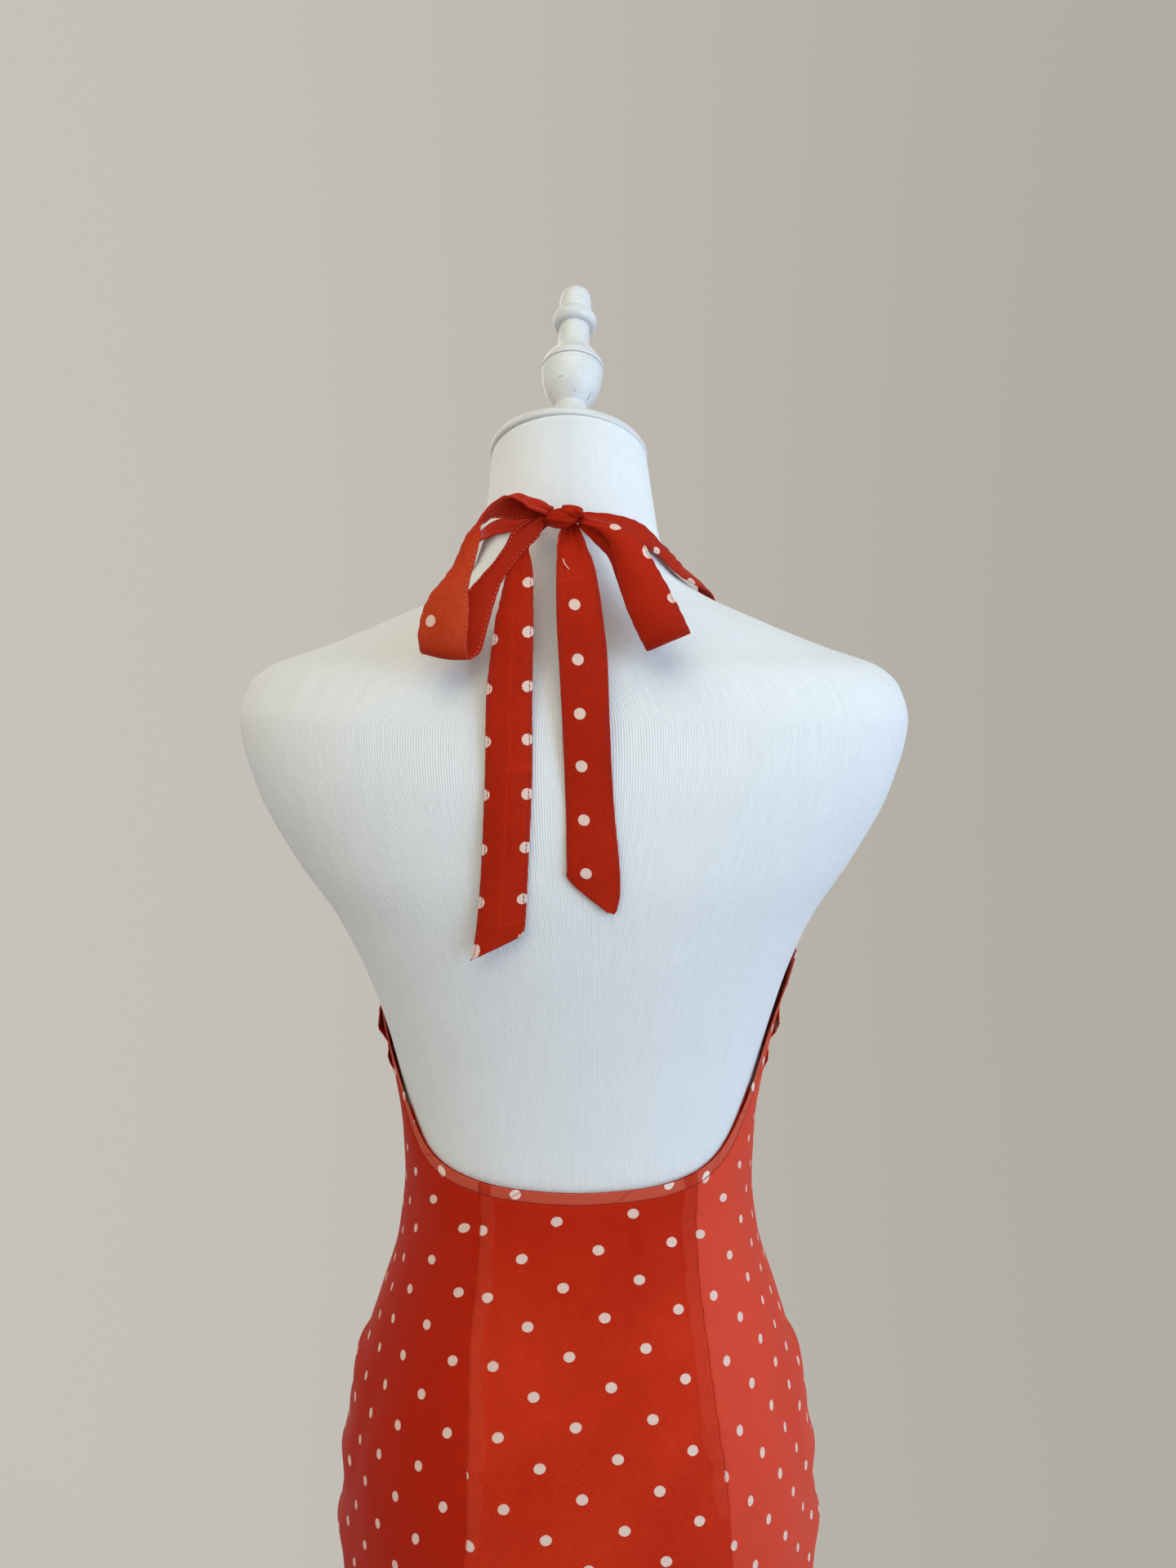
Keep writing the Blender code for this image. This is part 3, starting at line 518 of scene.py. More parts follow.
def cloth_material(kind):
    """Printed crepe of one of the kinds in CLOTHS."""
    name, deep, light = CLOTHS[kind]
    nodes = Nodes(bpy.data.materials.new(name))
    print_uv, i, j = nodes.uv("print")
    place = nodes.place()
    # The dots, with the slightly uneven edge of a print on a textured cloth
    away = nodes.length(nodes.math("FRACT", i + 0.5) - 0.5, nodes.math("FRACT", j + 0.5) - 0.5)
    ragged = nodes.rescale(nodes.noise(print_uv, 26.0, 2.0), -0.010, 0.010)
    radius = DOT_RADIUS / DOT_SPACING
    dot = nodes.fall(away + ragged, radius - 0.006, radius + 0.006)
    # The two sets of yarns with slubs along each, the crepe's grain and a broad mottle
    turns = 2.0 * math.pi * DOT_SPACING / YARN_PITCH
    weave = nodes.math("SINE", i * turns) * nodes.math("SINE", j * turns)
    slubs = nodes.streaks(print_uv, (60.0, 3.0, 1.0), 2.0) + nodes.streaks(print_uv, (3.0, 60.0, 1.0), 2.0)
    crepe = nodes.noise(print_uv, 55.0, 4.0, 0.6)
    mottle = nodes.noise(place, 14.0, 3.0, 0.55)
    tone = nodes.step(slubs * 0.32 + mottle * 0.45 + crepe * 0.25 + weave * 0.05, 0.42, 0.84)
    red = nodes.mix(tone, deep, light)
    cream = nodes.mix(nodes.step(crepe, 0.30, 0.75), DOT_CREAM, DOT_BRIGHT)
    double = None
    seams = None
    if kind in ("tie", "loop"):
        _, across, along = nodes.uv("tie")
        seams = nodes.fall(abs(abs(across) - 1.0), 0.01, 0.045) * 0.45
    if kind == "loop":
        # Below its turn the outer face of the loop keeps the loop's lighter reds, a painted highlight where it
        # catches the light; elsewhere it has the ties' reds
        lit = nodes.step(along, 0.045, 0.075) * nodes.step(along, 0.135, 0.118)
        red = nodes.mix(lit, nodes.mix(tone, RED_TIE_DEEP, RED_TIE_LIGHT), red)
    if kind in ("back", "front"):
        _, drop, run = nodes.uv("edge")
        waver = nodes.rescale(nodes.streaks(place, (90.0, 90.0, 30.0), 2.0), -0.0004, 0.0004)
        double = nodes.fall(drop + waver, STRIP_WIDTH - 0.0002, STRIP_WIDTH + 0.0002)
        # Slanted joins where the narrow strip was pieced from bias-cut lengths
        lap = abs(nodes.math("FRACT", run * 16.0 + drop * 24.0) - 0.5)
        lap = nodes.fall(lap, 0.012, 0.03) * double
        stitch_line = nodes.fall(abs(drop - EDGE_STITCH), 0.0002, 0.0007)
        seams = nodes.math("MAXIMUM", stitch_line * 0.8, lap * 0.35)
        bright = nodes.rescale(mottle, 0.60, 1.10)
    if kind == "front":
        # The painted sheen and painted shade of the back run on a little way round each side
        red = nodes.mix(nodes.step(run, -0.07, -0.13) * bright, red, RED_PAINTED_SHEEN)
        red = nodes.mix(nodes.step(run, 0.07, 0.13) * SIDE_PAINTED_SHADE, red, RED_PAINTED_SHADE)
    if kind == "back":
        for dot_run, dot_drop in STRIP_DOTS:
            away = nodes.length(run - dot_run, drop - dot_drop)
            on_strip = nodes.fall(away, DOT_RADIUS - 0.0002, DOT_RADIUS + 0.0002)
            dot = nodes.math("MAXIMUM", dot, on_strip)
        # Beyond the wearer's right dart the red is mixed towards a lighter one, a painted sheen where the light
        # falls on that side
        _, fold, above = nodes.uv("dart")
        outside = nodes.step(fold, 0.0, -0.15)
        beyond = outside * nodes.step(run, 0.03, 0.04)
        red = nodes.mix(beyond * bright, red, RED_PAINTED_SHEEN)
        # Beyond the left dart, and across the top, the red is mixed towards a darker one, painted shade
        top = nodes.step(nodes.split(place)[2], *TOP_PAINTED_SHADE_HEIGHTS) * TOP_PAINTED_SHADE * (1.0 - beyond)
        painted_side_shade = outside * nodes.step(run, -0.03, -0.04) * SIDE_PAINTED_SHADE
        red = nodes.mix(nodes.math("MAXIMUM", painted_side_shade, top), red, RED_PAINTED_SHADE)
        # The darts' intakes show through, between a seam and a wavy inner edge
        inner_edge = nodes.rescale(nodes.streaks(place, (1.0, 1.0, 44.0), 2.0), 0.30, 2.10)
        fold = fold + nodes.rescale(nodes.streaks(place, (1.0, 1.0, 70.0), 1.0), -0.16, 0.16)
        sewn = nodes.step(above, -0.01, 0.01)
        inside = nodes.step(fold, -0.02, 0.02) * nodes.fall(fold - inner_edge, -0.04, 0.04) * sewn
        line = nodes.fall(abs(fold), 0.02, 0.09) * sewn
        seams = nodes.math("MAXIMUM", seams, line * 0.6)
        # Where an intake runs up under the strip there is one more layer
        patch = inside * double * 0.75
        double = nodes.math("MAXIMUM", double, inside * 0.16) - patch
    colour = nodes.mix(dot, red, cream)
    if double is not None:
        colour = nodes.mix(double, colour, nodes.mix(dot, RED_DOUBLE, DOT_BRIGHT))
    if seams is not None:
        colour = nodes.mix(seams, colour, RED_THREAD)
    nodes.set(Base_Color=colour, Sheen_Weight=0.02, Sheen_Roughness=0.40, Specular_IOR_Level=0.07)
    nodes.set(Sheen_Tint=SHEEN_TINT, Specular_Tint=SHINE_TINT, Roughness=nodes.rescale(crepe, 0.42, 0.60))
    nodes.bump(weave * 0.25 + crepe * 0.9 + slubs * 0.5, 0.00022, 0.55)
    return nodes.material


def thread_material(name, shades):
    nodes = Nodes(bpy.data.materials.new(name))
    twist = nodes.noise(nodes.place(), 2400.0, 2.0)
    colour = nodes.mix(nodes.step(twist, 0.35, 0.65), *shades)
    nodes.set(Base_Color=colour, Roughness=0.42, Sheen_Weight=0.05)
    nodes.bump(twist, 0.0001, 0.5)
    return nodes.material


def plain_material(name, shades, scale, detail, roughness):
    """An even finish with a fine mottle."""
    nodes = Nodes(bpy.data.materials.new(name))
    grain = nodes.noise(nodes.place(), scale, detail)
    nodes.set(Base_Color=nodes.mix(grain, *shades), Roughness=roughness)
    return nodes.material


def jersey_material():
    """White jersey, with fine upright wales and the courses across them."""
    nodes = Nodes(bpy.data.materials.new("form_jersey"))
    knit, u, v = nodes.uv("knit")
    place = nodes.place()
    wander = nodes.rescale(nodes.streaks(knit, (40.0, 9.0, 1.0), 2.0), -0.7, 0.7)
    wale = nodes.math("SINE", u * (2.0 * math.pi / RIB_PITCH) + wander)
    course = nodes.math("SINE", v * (2.0 * math.pi / (RIB_PITCH * 0.8)))
    streak = nodes.streaks(knit, (900.0, 30.0, 1.0), 3.0, 0.6)
    tone = nodes.step(wale * 0.16 + streak * 0.7 + nodes.noise(place, 7.0, 3.0) * 0.3, 0.15, 0.95)
    # Towards the neck the jersey turns lighter, a painted highlight
    neck = nodes.step(nodes.split(place)[2], *NECK_PAINTED_LIGHT_HEIGHTS)
    colour = nodes.mix(neck, nodes.mix(tone, *JERSEY_BODY), nodes.mix(tone, *JERSEY_NECK_PAINTED_LIGHT))
    nodes.set(Base_Color=colour, Roughness=0.86, Sheen_Weight=0.12, Sheen_Roughness=0.5)
    nodes.set(Specular_IOR_Level=0.2)
    nodes.bump(wale * 0.8 + course * 0.25 + streak * 0.8, 0.00016, 0.6)
    return nodes.material


def paint_material(name, shades, roughness, grain, chip, marks=()):
    """Brushed paint on a turned part: brush lines round it, small chips and the scratches listed in marks."""
    nodes = Nodes(bpy.data.materials.new(name))
    place = nodes.place()
    turned_uv = nodes.uv("turned")[0]
    brush = nodes.streaks(turned_uv, (6.0, 420.0, 1.0), 4.0, 0.6)
    drag = nodes.streaks(turned_uv, (14.0, 60.0, 1.0))
    tone = brush * 0.5 + nodes.noise(place, 30.0, 3.0) * 0.5
    colour = nodes.mix(nodes.step(tone, 0.34, 0.62), *shades)
    chips = nodes.step(nodes.noise(place, 320.0, 2.0, 0.4), chip, chip + 0.02)
    chips = chips * nodes.step(drag, 0.52, 0.60)
    colour = nodes.mix(chips * 0.55, colour, PAINT_CHIP)
    for start, end, width in marks:
        scratch = nodes.mark(place, start, end, width)
        colour = nodes.mix(scratch * 0.75, colour, PAINT_NICK)
        chips = nodes.math("MAXIMUM", chips, scratch)
    nodes.set(Base_Color=colour, Coat_Weight=0.12, Coat_Roughness=0.35, Specular_IOR_Level=0.45)
    nodes.set(Roughness=nodes.rescale(brush, roughness - 0.08, roughness + 0.12))
    nodes.bump(brush * grain + drag * 0.6 - chips * 0.8, 0.00035, 0.5)
    return nodes.material


# Meshes


def mesh_object(name, points, faces, uvs, finish):
    """A piece from points and faces. uvs gives each layer's pair for every face corner."""
    mesh = bpy.data.meshes.new(name)
    mesh.from_pydata([tuple(point) for point in np.asarray(points).reshape(-1, 3)], [], faces)
    for layer, values in uvs.items():
        made = mesh.uv_layers.new(name=layer)
        made.data.foreach_set("uv", np.asarray(values, np.float32).ravel())
    mesh.materials.append(finish)
    mesh.shade_smooth()
    piece = bpy.data.objects.new(name, mesh)
    bpy.context.scene.collection.objects.link(piece)
    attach(piece, "root")
    return piece


def grid_faces(rows, columns, closed=False):
    """Vertex numbers of a grid's faces, row by row, as an array with four a face."""
    across = columns if closed else columns - 1
    r, c = np.meshgrid(np.arange(rows - 1), np.arange(across), indexing="ij")
    beside = (c + 1) % columns
    corners = (r * columns + c, r * columns + beside, (r + 1) * columns + beside, (r + 1) * columns + c)
    return np.stack([corner.ravel() for corner in corners], axis=-1)


def ring_caps(rows, around):
    """The two faces that close a tube of rings, the first ring's turned over."""
    last = (rows - 1) * around
    return [tuple(range(around))[::-1], tuple(range(last, last + around))]


def shell(name, points, uvs, finish):
    """A thin sheet of cloth from a grid of points on its middle, with its rim closed.

    A layer in uvs has a pair for each point, or for each corner of each face.
    """
    faces = grid_faces(*points.shape[:2])
    layers = {}
    for layer, value in uvs.items():
        layers[layer] = value.reshape(-1, 2)[faces.ravel()] if value.ndim == 3 else value
    piece = mesh_object(name, points, faces.tolist(), layers, finish)
    thicken = piece.modifiers.new("solidify", "SOLIDIFY")
    thicken.thickness = CLOTH_THICKNESS
    thicken.offset = 0.0
    thicken.use_rim = True
    bpy.context.view_layer.update()
    depsgraph = bpy.context.evaluated_depsgraph_get()
    shaped = bpy.data.meshes.new_from_object(piece.evaluated_get(depsgraph))
    piece.modifiers.clear()
    piece.data = shaped
    piece.data.shade_smooth()
    return piece


def lengths(points, axis):
    """Length along a grid's rows or columns, from 0 at the start of each."""
    steps = np.linalg.norm(np.diff(points, axis=axis), axis=-1)
    return np.concatenate((0.0 * steps.take([0], axis=axis), np.cumsum(steps, axis=axis)), axis=axis)


def unit(vectors):
    return vectors / np.maximum(np.linalg.norm(vectors, axis=-1, keepdims=True), 1e-12)


def unevenness(angle, height, seed):
    """Gentle waves in the cloth, about 1 either way, the same each time."""
    turn = np.radians(angle)
    waves = np.sin(5.0 * turn + 31.0 * height + seed) * np.sin(43.0 * height + 2.0 * turn + 1.7 * seed)
    waves = waves + 0.6 * np.sin(11.0 * turn - 57.0 * height + 0.6 * seed)
    return waves + 0.4 * np.sin(17.0 * turn + 83.0 * height + 2.3 * seed) * np.sin(7.0 * turn)


# Smaller folds between the skirt's main ones: angle, depth at the hem, half width, start height
SMALL_FOLDS = (
    (29.0, 0.0045, 4.0, 0.66),
    (60.0, -0.0040, 4.5, 0.74),
    (94.0, 0.0050, 4.0, 0.62),
    (129.0, 0.0045, 4.5, 0.68),
    (160.0, -0.0040, 4.0, 0.60),
    (189.0, 0.0050, 4.2, 0.64),
    (221.0, -0.0035, 4.5, 0.66),
    (251.0, 0.0040, 3.6, 0.62),
    (282.0, 0.0055, 5.0, 0.70),
    (318.0, -0.0045, 4.5, 0.72),
    (353.0, 0.0040, 4.5, 0.66),
)
# Soft drag lines over the body: angle and height of the middle, slope in degrees per metre,
# half length, half width in degrees, depth
DRAG_LINES = (
    (118.0, 0.955, 90.0, 0.040, 5.0, -0.0012),
    (112.0, 0.905, 120.0, 0.035, 4.5, -0.0012),
    (116.0, 0.868, 60.0, 0.030, 5.0, -0.0010),
    (242.0, 0.950, -100.0, 0.040, 5.0, -0.0012),
    (248.0, 0.900, -120.0, 0.032, 4.5, -0.0012),
    (243.0, 0.862, -60.0, 0.030, 5.0, -0.0010),
    (62.0, 0.950, -90.0, 0.040, 5.0, -0.0012),
    (66.0, 0.900, -110.0, 0.034, 4.5, -0.0012),
    (298.0, 0.955, 90.0, 0.040, 5.0, -0.0012),
    (294.0, 0.903, 110.0, 0.034, 4.5, -0.0012),
    (167.0, 1.072, 0.0, 0.018, 2.6, -0.0007),
    (193.5, 1.070, 30.0, 0.020, 2.2, -0.0009),
    (199.0, 1.074, 40.0, 0.016, 2.0, 0.0006),
    (184.0, 0.940, 0.0, 0.070, 9.0, -0.0008),
)


def cloth_relief(angle, height):
    """How far fine folds and waves move the cloth out."""
    full = np.mod(angle, 360.0)
    out = 0.00025 * unevenness(full, height, 0.4)
    for centre, depth, half, start in SMALL_FOLDS:
        drop = smooth_step((start - height) / (start - HEM_HEIGHT))
        out = out + depth * drop * bell(turned(full, centre), half)
    for centre, middle, slope, length, half, depth in DRAG_LINES:
        along = bell(height - middle, length)
        out = out + depth * along * bell(turned(full, centre + slope * (height - middle)), half)
    # Short puckers all the way down each side seam
    phase = height * 2.0 * math.pi / PUCKER_PITCH + 1.4 * np.sin(height * 37.0)
    puckers = np.sin(phase) + 0.5 * np.sin(height * 391.0)
    reach = smooth_step((height - 0.80) / 0.05) * smooth_step((1.00 - height) / 0.03)
    return out + PUCKER_RISE * puckers * reach * bell(from_side_seam(full), 9.0)


# The print on each part of the back, from the arc length u round from the centre back and the height
# v above the print's origin, both in tenths of a metre: the terms 1, u, v, u*u, u*v, v*v of each of
# its two numbers, then the reach of u and of v, beyond which the print is an even lattice
PRINT_CENTRE = (
    (-2.004, 2.536, -2.402, -0.314, 0.0, 0.0),
    (-2.594, -1.956, -2.837, -0.416, 0.0, 0.0),
    (-0.80, 1.00),
    (-2.50, 0.40),
)
PRINT_LEFT = (
    (-3.154, 1.813, -3.170, -0.587, -0.218, -0.116),
    (-1.120, -0.449, -2.175, 0.446, 0.671, -0.091),
    (-1.65, -0.40),
    (-2.10, 0.40),
)
PRINT_RIGHT = (
    (-1.059, 1.965, -1.325, -0.083, -1.263, -0.223),
    (-3.729, -1.175, -3.715, -0.570, 0.428, -0.104),
    (0.55, 1.70),
    (-2.20, 0.40),
)
PRINT_TURN = math.radians(41.0)
PRINT_FADE = 0.20
PRINT_ORIGIN = 1.10
FRONT_PRINT_SHIFT = (0.31, 0.12)
FACING_PRINT_SHIFT = (0.40, 0.45)


def even_print(u, v):
    """The two numbers of an even lattice of dots, turned on the cloth."""
    cos, sin = math.cos(PRINT_TURN), math.sin(PRINT_TURN)
    return (cos * u - sin * v) / DOT_SPACING, (-sin * u - cos * v) / DOT_SPACING


def lattice(part, u, v):
    """The print's two numbers on a part of the back, with an even lattice beyond its reach."""
    near_u, near_v = np.clip(u, *part[2]), np.clip(v, *part[3])
    basis = (1.0 + 0.0 * near_u, near_u, near_v, near_u ** 2, near_u * near_v, near_v ** 2)
    beyond = even_print(0.1 * (u - near_u), 0.1 * (v - near_v))
    numbers = [sum(t * b for t, b in zip(part[k], basis)) + beyond[k] for k in (0, 1)]
    return np.stack(numbers, axis=-1)


def side_print(centre, part, u, v, seam_u, tip_u, tip_v):
    """The print beside a dart: its own down to the dart's tip, then easing into the centre's."""
    above = v >= tip_v
    at_u = np.where(above, u, tip_u + (u - seam_u))
    at_v = np.maximum(v, tip_v)
    apart = lattice(part, at_u, at_v) - lattice(PRINT_CENTRE, at_u, at_v)
    tip_u, tip_v = np.array(tip_u), np.array(tip_v)
    tip = lattice(part, tip_u, tip_v) - lattice(PRINT_CENTRE, tip_u, tip_v)
    fade = 1.0 - smooth_step((tip_v - v) * 0.1 / PRINT_FADE)
    return centre + (apart - tip * (1.0 - above[..., None])) * fade[..., None]


def edge_spread(top, angle, most):
    """How much longer a panel's rows are drawn down where its edge climbs."""
    climb = (top(angle + 0.5) - top(angle - 0.5)) / (WAIST_RADIUS * math.radians(1.0))
    return np.minimum(np.sqrt(1.0 + climb ** 2), most)


def panel_heights(top, spread, counts):
    """Rows of heights: close below the edge, then even to the knee, then even to the hem."""
    edge = [top - distance * spread for distance in EDGE_ROWS]
    last = edge[-1]
    upper = [last + (KNEE_HEIGHT - last) * (k + 1) / counts[0] for k in range(counts[0])]
    step = (HEM_HEIGHT - KNEE_HEIGHT) / counts[1]
    lower = [KNEE_HEIGHT + step * (k + 1) + 0.0 * last for k in range(counts[1])]
    return np.stack(edge + upper + lower)


def turned_edge(below, groove):
    """A panel's rolled edge and the groove along its stitches, by the distance below the edge."""
    return 0.00025 * bell(below, 0.0012) - groove * bell(below - EDGE_STITCH, 0.0008)


def edge_pull(angle, below):
    """How far the back's edge is drawn in to the form towards its sides."""
    return 0.0011 * bell(below, 0.010) * smooth_step((np.abs(angle) - 24.0) / 26.0)


def half_angles(dart, height):
    """Column angles of one half of the back from its centre to its side, following the dart."""
    seam = between(dart, height, 1)
    fold = seam - between(dart, height, 2)
    side = 0.0 * seam + 90.0 - SIDE_GAP
    stops = (0.0 * seam, fold - DART_MARGIN, fold, seam, seam + DART_MARGIN, side)
    columns = []
    for count, low, high in zip(BACK_BANDS, stops[:-1], stops[1:]):
        columns += [low + (high - low) * k / count for k in range(count)]
    return np.stack(columns + [side], axis=-1)


def dart_relief(angles, heights, from_seam, width, tip):
    """How far a dart's seam, its folded intake and its ripples move the cloth out."""
    sewn = smooth_step((heights - tip) / 0.02 + 0.5)
    layers = smooth_step(from_seam / 0.8) * (1.0 - smooth_step((from_seam - width * 1.15) / 1.2))
    ripple = np.sin(heights * 2.0 * math.pi / DART_RIPPLE_PITCH + 2.0 * np.sin(heights * 41.0))
    out = DART_LAYERS * layers + DART_RIPPLE * ripple * bell(from_seam, 3.2)
    return sewn * (out - DART_SEAM * bell(from_seam, 0.55))


def build_back(finish):
    """The back panel, from its low round edge to the hem, in three parts parted by the darts."""
    # Column angles hardly depend on the height, so a first pass gives each column's top edge
    waist = np.array([WAIST_HEIGHT])
    left, right = half_angles(DART_LEFT, waist)[0], half_angles(DART_RIGHT, waist)[0]
    first = np.concatenate((-left[:0:-1], right))
    top = back_top(first)
    spread = edge_spread(back_top, first, FACING_STRETCH)
    heights = panel_heights(top, spread, BACK_ROWS)
    half = len(first) // 2
    angles = np.empty_like(heights)
    c = np.arange(half + 1)
    angles[:, :half] = -half_angles(DART_LEFT, heights[:, :half])[:, c[:half], half - c[:half]]
    angles[:, half:] = half_angles(DART_RIGHT, heights[:, half:])[:, c, c]
    below = (top - heights) / spread
    at_left = angles < 0.0
    seam = np.where(at_left, between(DART_LEFT, heights, 1), between(DART_RIGHT, heights, 1))
    width = np.where(at_left, between(DART_LEFT, heights, 2), between(DART_RIGHT, heights, 2))
    tip = np.where(at_left, DART_TIP_LEFT, DART_TIP_RIGHT)
    from_seam = seam - np.abs(angles)
    out = CLOTH_MIDDLE + cloth_relief(180.0 + angles, heights)
    out = out + turned_edge(below, 0.00035) - edge_pull(angles, below)
    out = out + dart_relief(angles, heights, from_seam, width, tip)
    points = cloth_points(180.0 + angles, heights, out)
    run, down = lengths(points, 1), lengths(points, 0)
    u = run - run[:, half:half + 1]
    # Above its origin the print follows the height, and below it the length along the cloth
    columns = range(points.shape[1])
    origin = np.array([np.interp(-PRINT_ORIGIN, -heights[:, k], down[:, k]) for k in columns])
    v = np.where(heights > PRINT_ORIGIN, heights - PRINT_ORIGIN, origin - down)
    ten_u, ten_v = u * 10.0, v * 10.0
    centre = lattice(PRINT_CENTRE, ten_u, ten_v)
    seams = (half - sum(BACK_BANDS[:3]), half + sum(BACK_BANDS[:3]))
    parts = ((PRINT_LEFT, DART_TIP_LEFT), (PRINT_RIGHT, DART_TIP_RIGHT))
    prints = [centre]
    for column, (part, tip_height) in zip(seams, parts):
        rows = -heights[:, column]
        tip_at = [float(np.interp(-tip_height, rows, ten[:, column])) for ten in (ten_u, ten_v)]
        prints.append(side_print(centre, part, ten_u, ten_v, ten_u[:, column:column + 1], *tip_at))
    faces = grid_faces(*heights.shape)
    column_of = np.tile(np.arange(heights.shape[1] - 1), heights.shape[0] - 1)[:, None, None]
    middle, left, right = (value.reshape(-1, 2)[faces] for value in prints)
    corner = np.where(column_of < seams[0], left, np.where(column_of >= seams[1], right, middle))
    uvs = {
        "print": corner.reshape(-1, 2),
        "edge": np.stack((below, u), axis=-1),
        "dart": np.stack((from_seam / width, (heights - tip) * 10.0), axis=-1),
    }
    return shell("dress_back", points, uvs, finish), points, 180.0 + angles, heights


def girth_to(angle, height):
    """Length round the body at one height, from the centre front to an angle, plus to the left."""
    columns = np.linspace(-90.0, 90.0, 181)
    rows = np.linspace(HEM_HEIGHT, 1.40, 106)
    run = lengths(cloth_points(columns[None, :], rows[:, None]), 1)
    run = run - run[:, 90:91]
    across = np.clip(angle + 90.0, 0.0, 179.999)
    up = np.clip((height - HEM_HEIGHT) / (rows[1] - rows[0]), 0.0, 104.999)
    c, r = across.astype(int), up.astype(int)
    s, t = across - c, up - r
    low = run[r, c] * (1.0 - s) + run[r, c + 1] * s
    high = run[r + 1, c] * (1.0 - s) + run[r + 1, c + 1] * s
    return low * (1.0 - t) + high * t


def build_front(finish):
    """The front panel, from the halter points and the deep V to the hem."""
    neckline = np.linspace(0.0, HALTER_INNER, 24)[:-1]
    point = np.linspace(HALTER_INNER, HALTER_OUTER, 9)[:-1]
    armhole = np.linspace(HALTER_OUTER, 90.0 - SIDE_GAP, 66)
    half = np.concatenate((neckline, point, armhole))
    angle = np.concatenate((-half[:0:-1], half))
    top = front_top(angle)
    spread = edge_spread(front_top, angle, FRONT_STRETCH)
    heights = panel_heights(top, spread, FRONT_ROWS)
    angles = np.broadcast_to(angle, heights.shape)
    below = (top - heights) / spread
    # The armhole's edge is drawn in, and small gathers fan from each side seam below the bust
    drawn = bell(below, 0.010) * smooth_step((np.abs(angles) - 40.0) / 30.0)
    out = CLOTH_MIDDLE + cloth_relief(angles, heights) + turned_edge(below, 0.00030) - 0.0015 * drawn
    side = 90.0 - np.abs(angles)
    for k in range(FAN_COUNT):
        fan = FAN_START + FAN_STEP * k + (0.0014 + 0.0004 * k) * side * (0.35 if k < 3 else 0.8)
        out = out + FAN_RISE * bell(heights - fan, 0.0048) * bell(side - 6.0, 16.0)
    points = cloth_points(angles, heights, out)
    u = girth_to(angles, heights)
    numbers = even_print(u, heights - PRINT_ORIGIN)
    print_uv = np.stack(numbers, axis=-1) + np.array(FRONT_PRINT_SHIFT)
    uvs = {"print": print_uv, "edge": np.stack((below, u), axis=-1)}
    return shell("dress_front", points, uvs, finish), points, angles, heights


def build_facing(finish):
    """The narrow strip inside the low edge of the back."""
    angles = np.linspace(-FACING_END, FACING_END, 120)
    top = back_top(angles)
    spread = edge_spread(back_top, angles, FACING_STRETCH)
    heights = np.stack([top - distance * spread for distance in np.linspace(0.0004, 0.0072, 7)])
    grid = np.broadcast_to(angles, heights.shape)
    below = (top - heights) / spread
    out = -0.0010 + 0.00012 * np.sin(grid * 1.9) - edge_pull(grid, below)
    points = cloth_points(180.0 + grid, heights, out)
    print_uv = np.stack((lengths(points, 1), top - heights), axis=-1) / DOT_SPACING
    print_uv = print_uv + np.array(FACING_PRINT_SHIFT)
    return shell("dress_back_facing", points, {"print": print_uv}, finish)


# Stitches

STITCH_WIDTH = 0.00058
STITCH_HEIGHT = 0.00024
STITCH_SINK = 0.00005
STITCH_SHARE = 0.62
# Sections of a stitch: place along it, share of its width and share of its height
STITCH_SECTIONS = ((-0.5, 0.35, -0.2), (-0.25, 1.0, 1.0), (0.25, 1.0, 1.0), (0.5, 0.35, -0.2))
# A stitch's faces, by the numbers of its sections' points
STITCH_FACES = (
    (0, 1, 4, 3), (1, 2, 5, 4), (2, 0, 3, 5), (3, 4, 7, 6), (4, 5, 8, 7), (5, 3, 6, 8),
    (6, 7, 10, 9), (7, 8, 11, 10), (8, 6, 9, 11), (0, 2, 1), (9, 10, 11),
)


def stitch_run(path, normals, pitch):
    """Points and faces of a row of small raised stitches along a path on a surface."""
    steps = np.linalg.norm(np.diff(path, axis=0), axis=1)
    distance = np.concatenate(([0.0], np.cumsum(steps)))

    def at(s, values):
        return np.array([np.interp(s, distance, values[:, k]) for k in range(3)])

    points, faces = [], []
    middle = 0.5 * pitch
    while middle < distance[-1] - 0.5 * pitch:
        faces += [tuple(len(points) + v for v in face) for face in STITCH_FACES]
        for share, plump, lift in STITCH_SECTIONS:
            s = middle + share * STITCH_SHARE * pitch
            centre = at(s, path)
            normal = unit(at(s, normals))
            along = unit(at(s + 1e-4, path) - at(s - 1e-4, path))
            beside = np.cross(normal, along) * (0.5 * STITCH_WIDTH * plump)
            sunk = centre - normal * STITCH_SINK
            points += [sunk - beside, centre + normal * (STITCH_HEIGHT * lift), sunk + beside]
        middle += pitch
    return points, faces


def stitches(name, runs, finish):
    """One piece with several rows of stitches. Each run is a path, its normals and a pitch."""
    points, faces = [], []
    for run in runs:
        more, sides = stitch_run(*run)
        faces += [tuple(v + len(points) for v in side) for side in sides]
        points += more
    return mesh_object(name, points, faces, {}, finish)


def panel_stitches(name, points, angles, heights, middle, thread):
    """The stitches along a panel's edge and hem. middle is the angle of the panel's centre."""
    runs = []
    for row in (EDGE_STITCH_ROW, HEM_STITCH_ROW):
        normals = outward(angles[row], heights[row], BUST_DIP)
        path = points[row] + normals * (0.5 * CLOTH_THICKNESS)
        keep = np.abs(turned(angles[row], middle)) < 89.5
        runs.append((path[keep], normals[keep], PANEL_STITCH_PITCH))
    return stitches(name, runs, thread)


# Ties


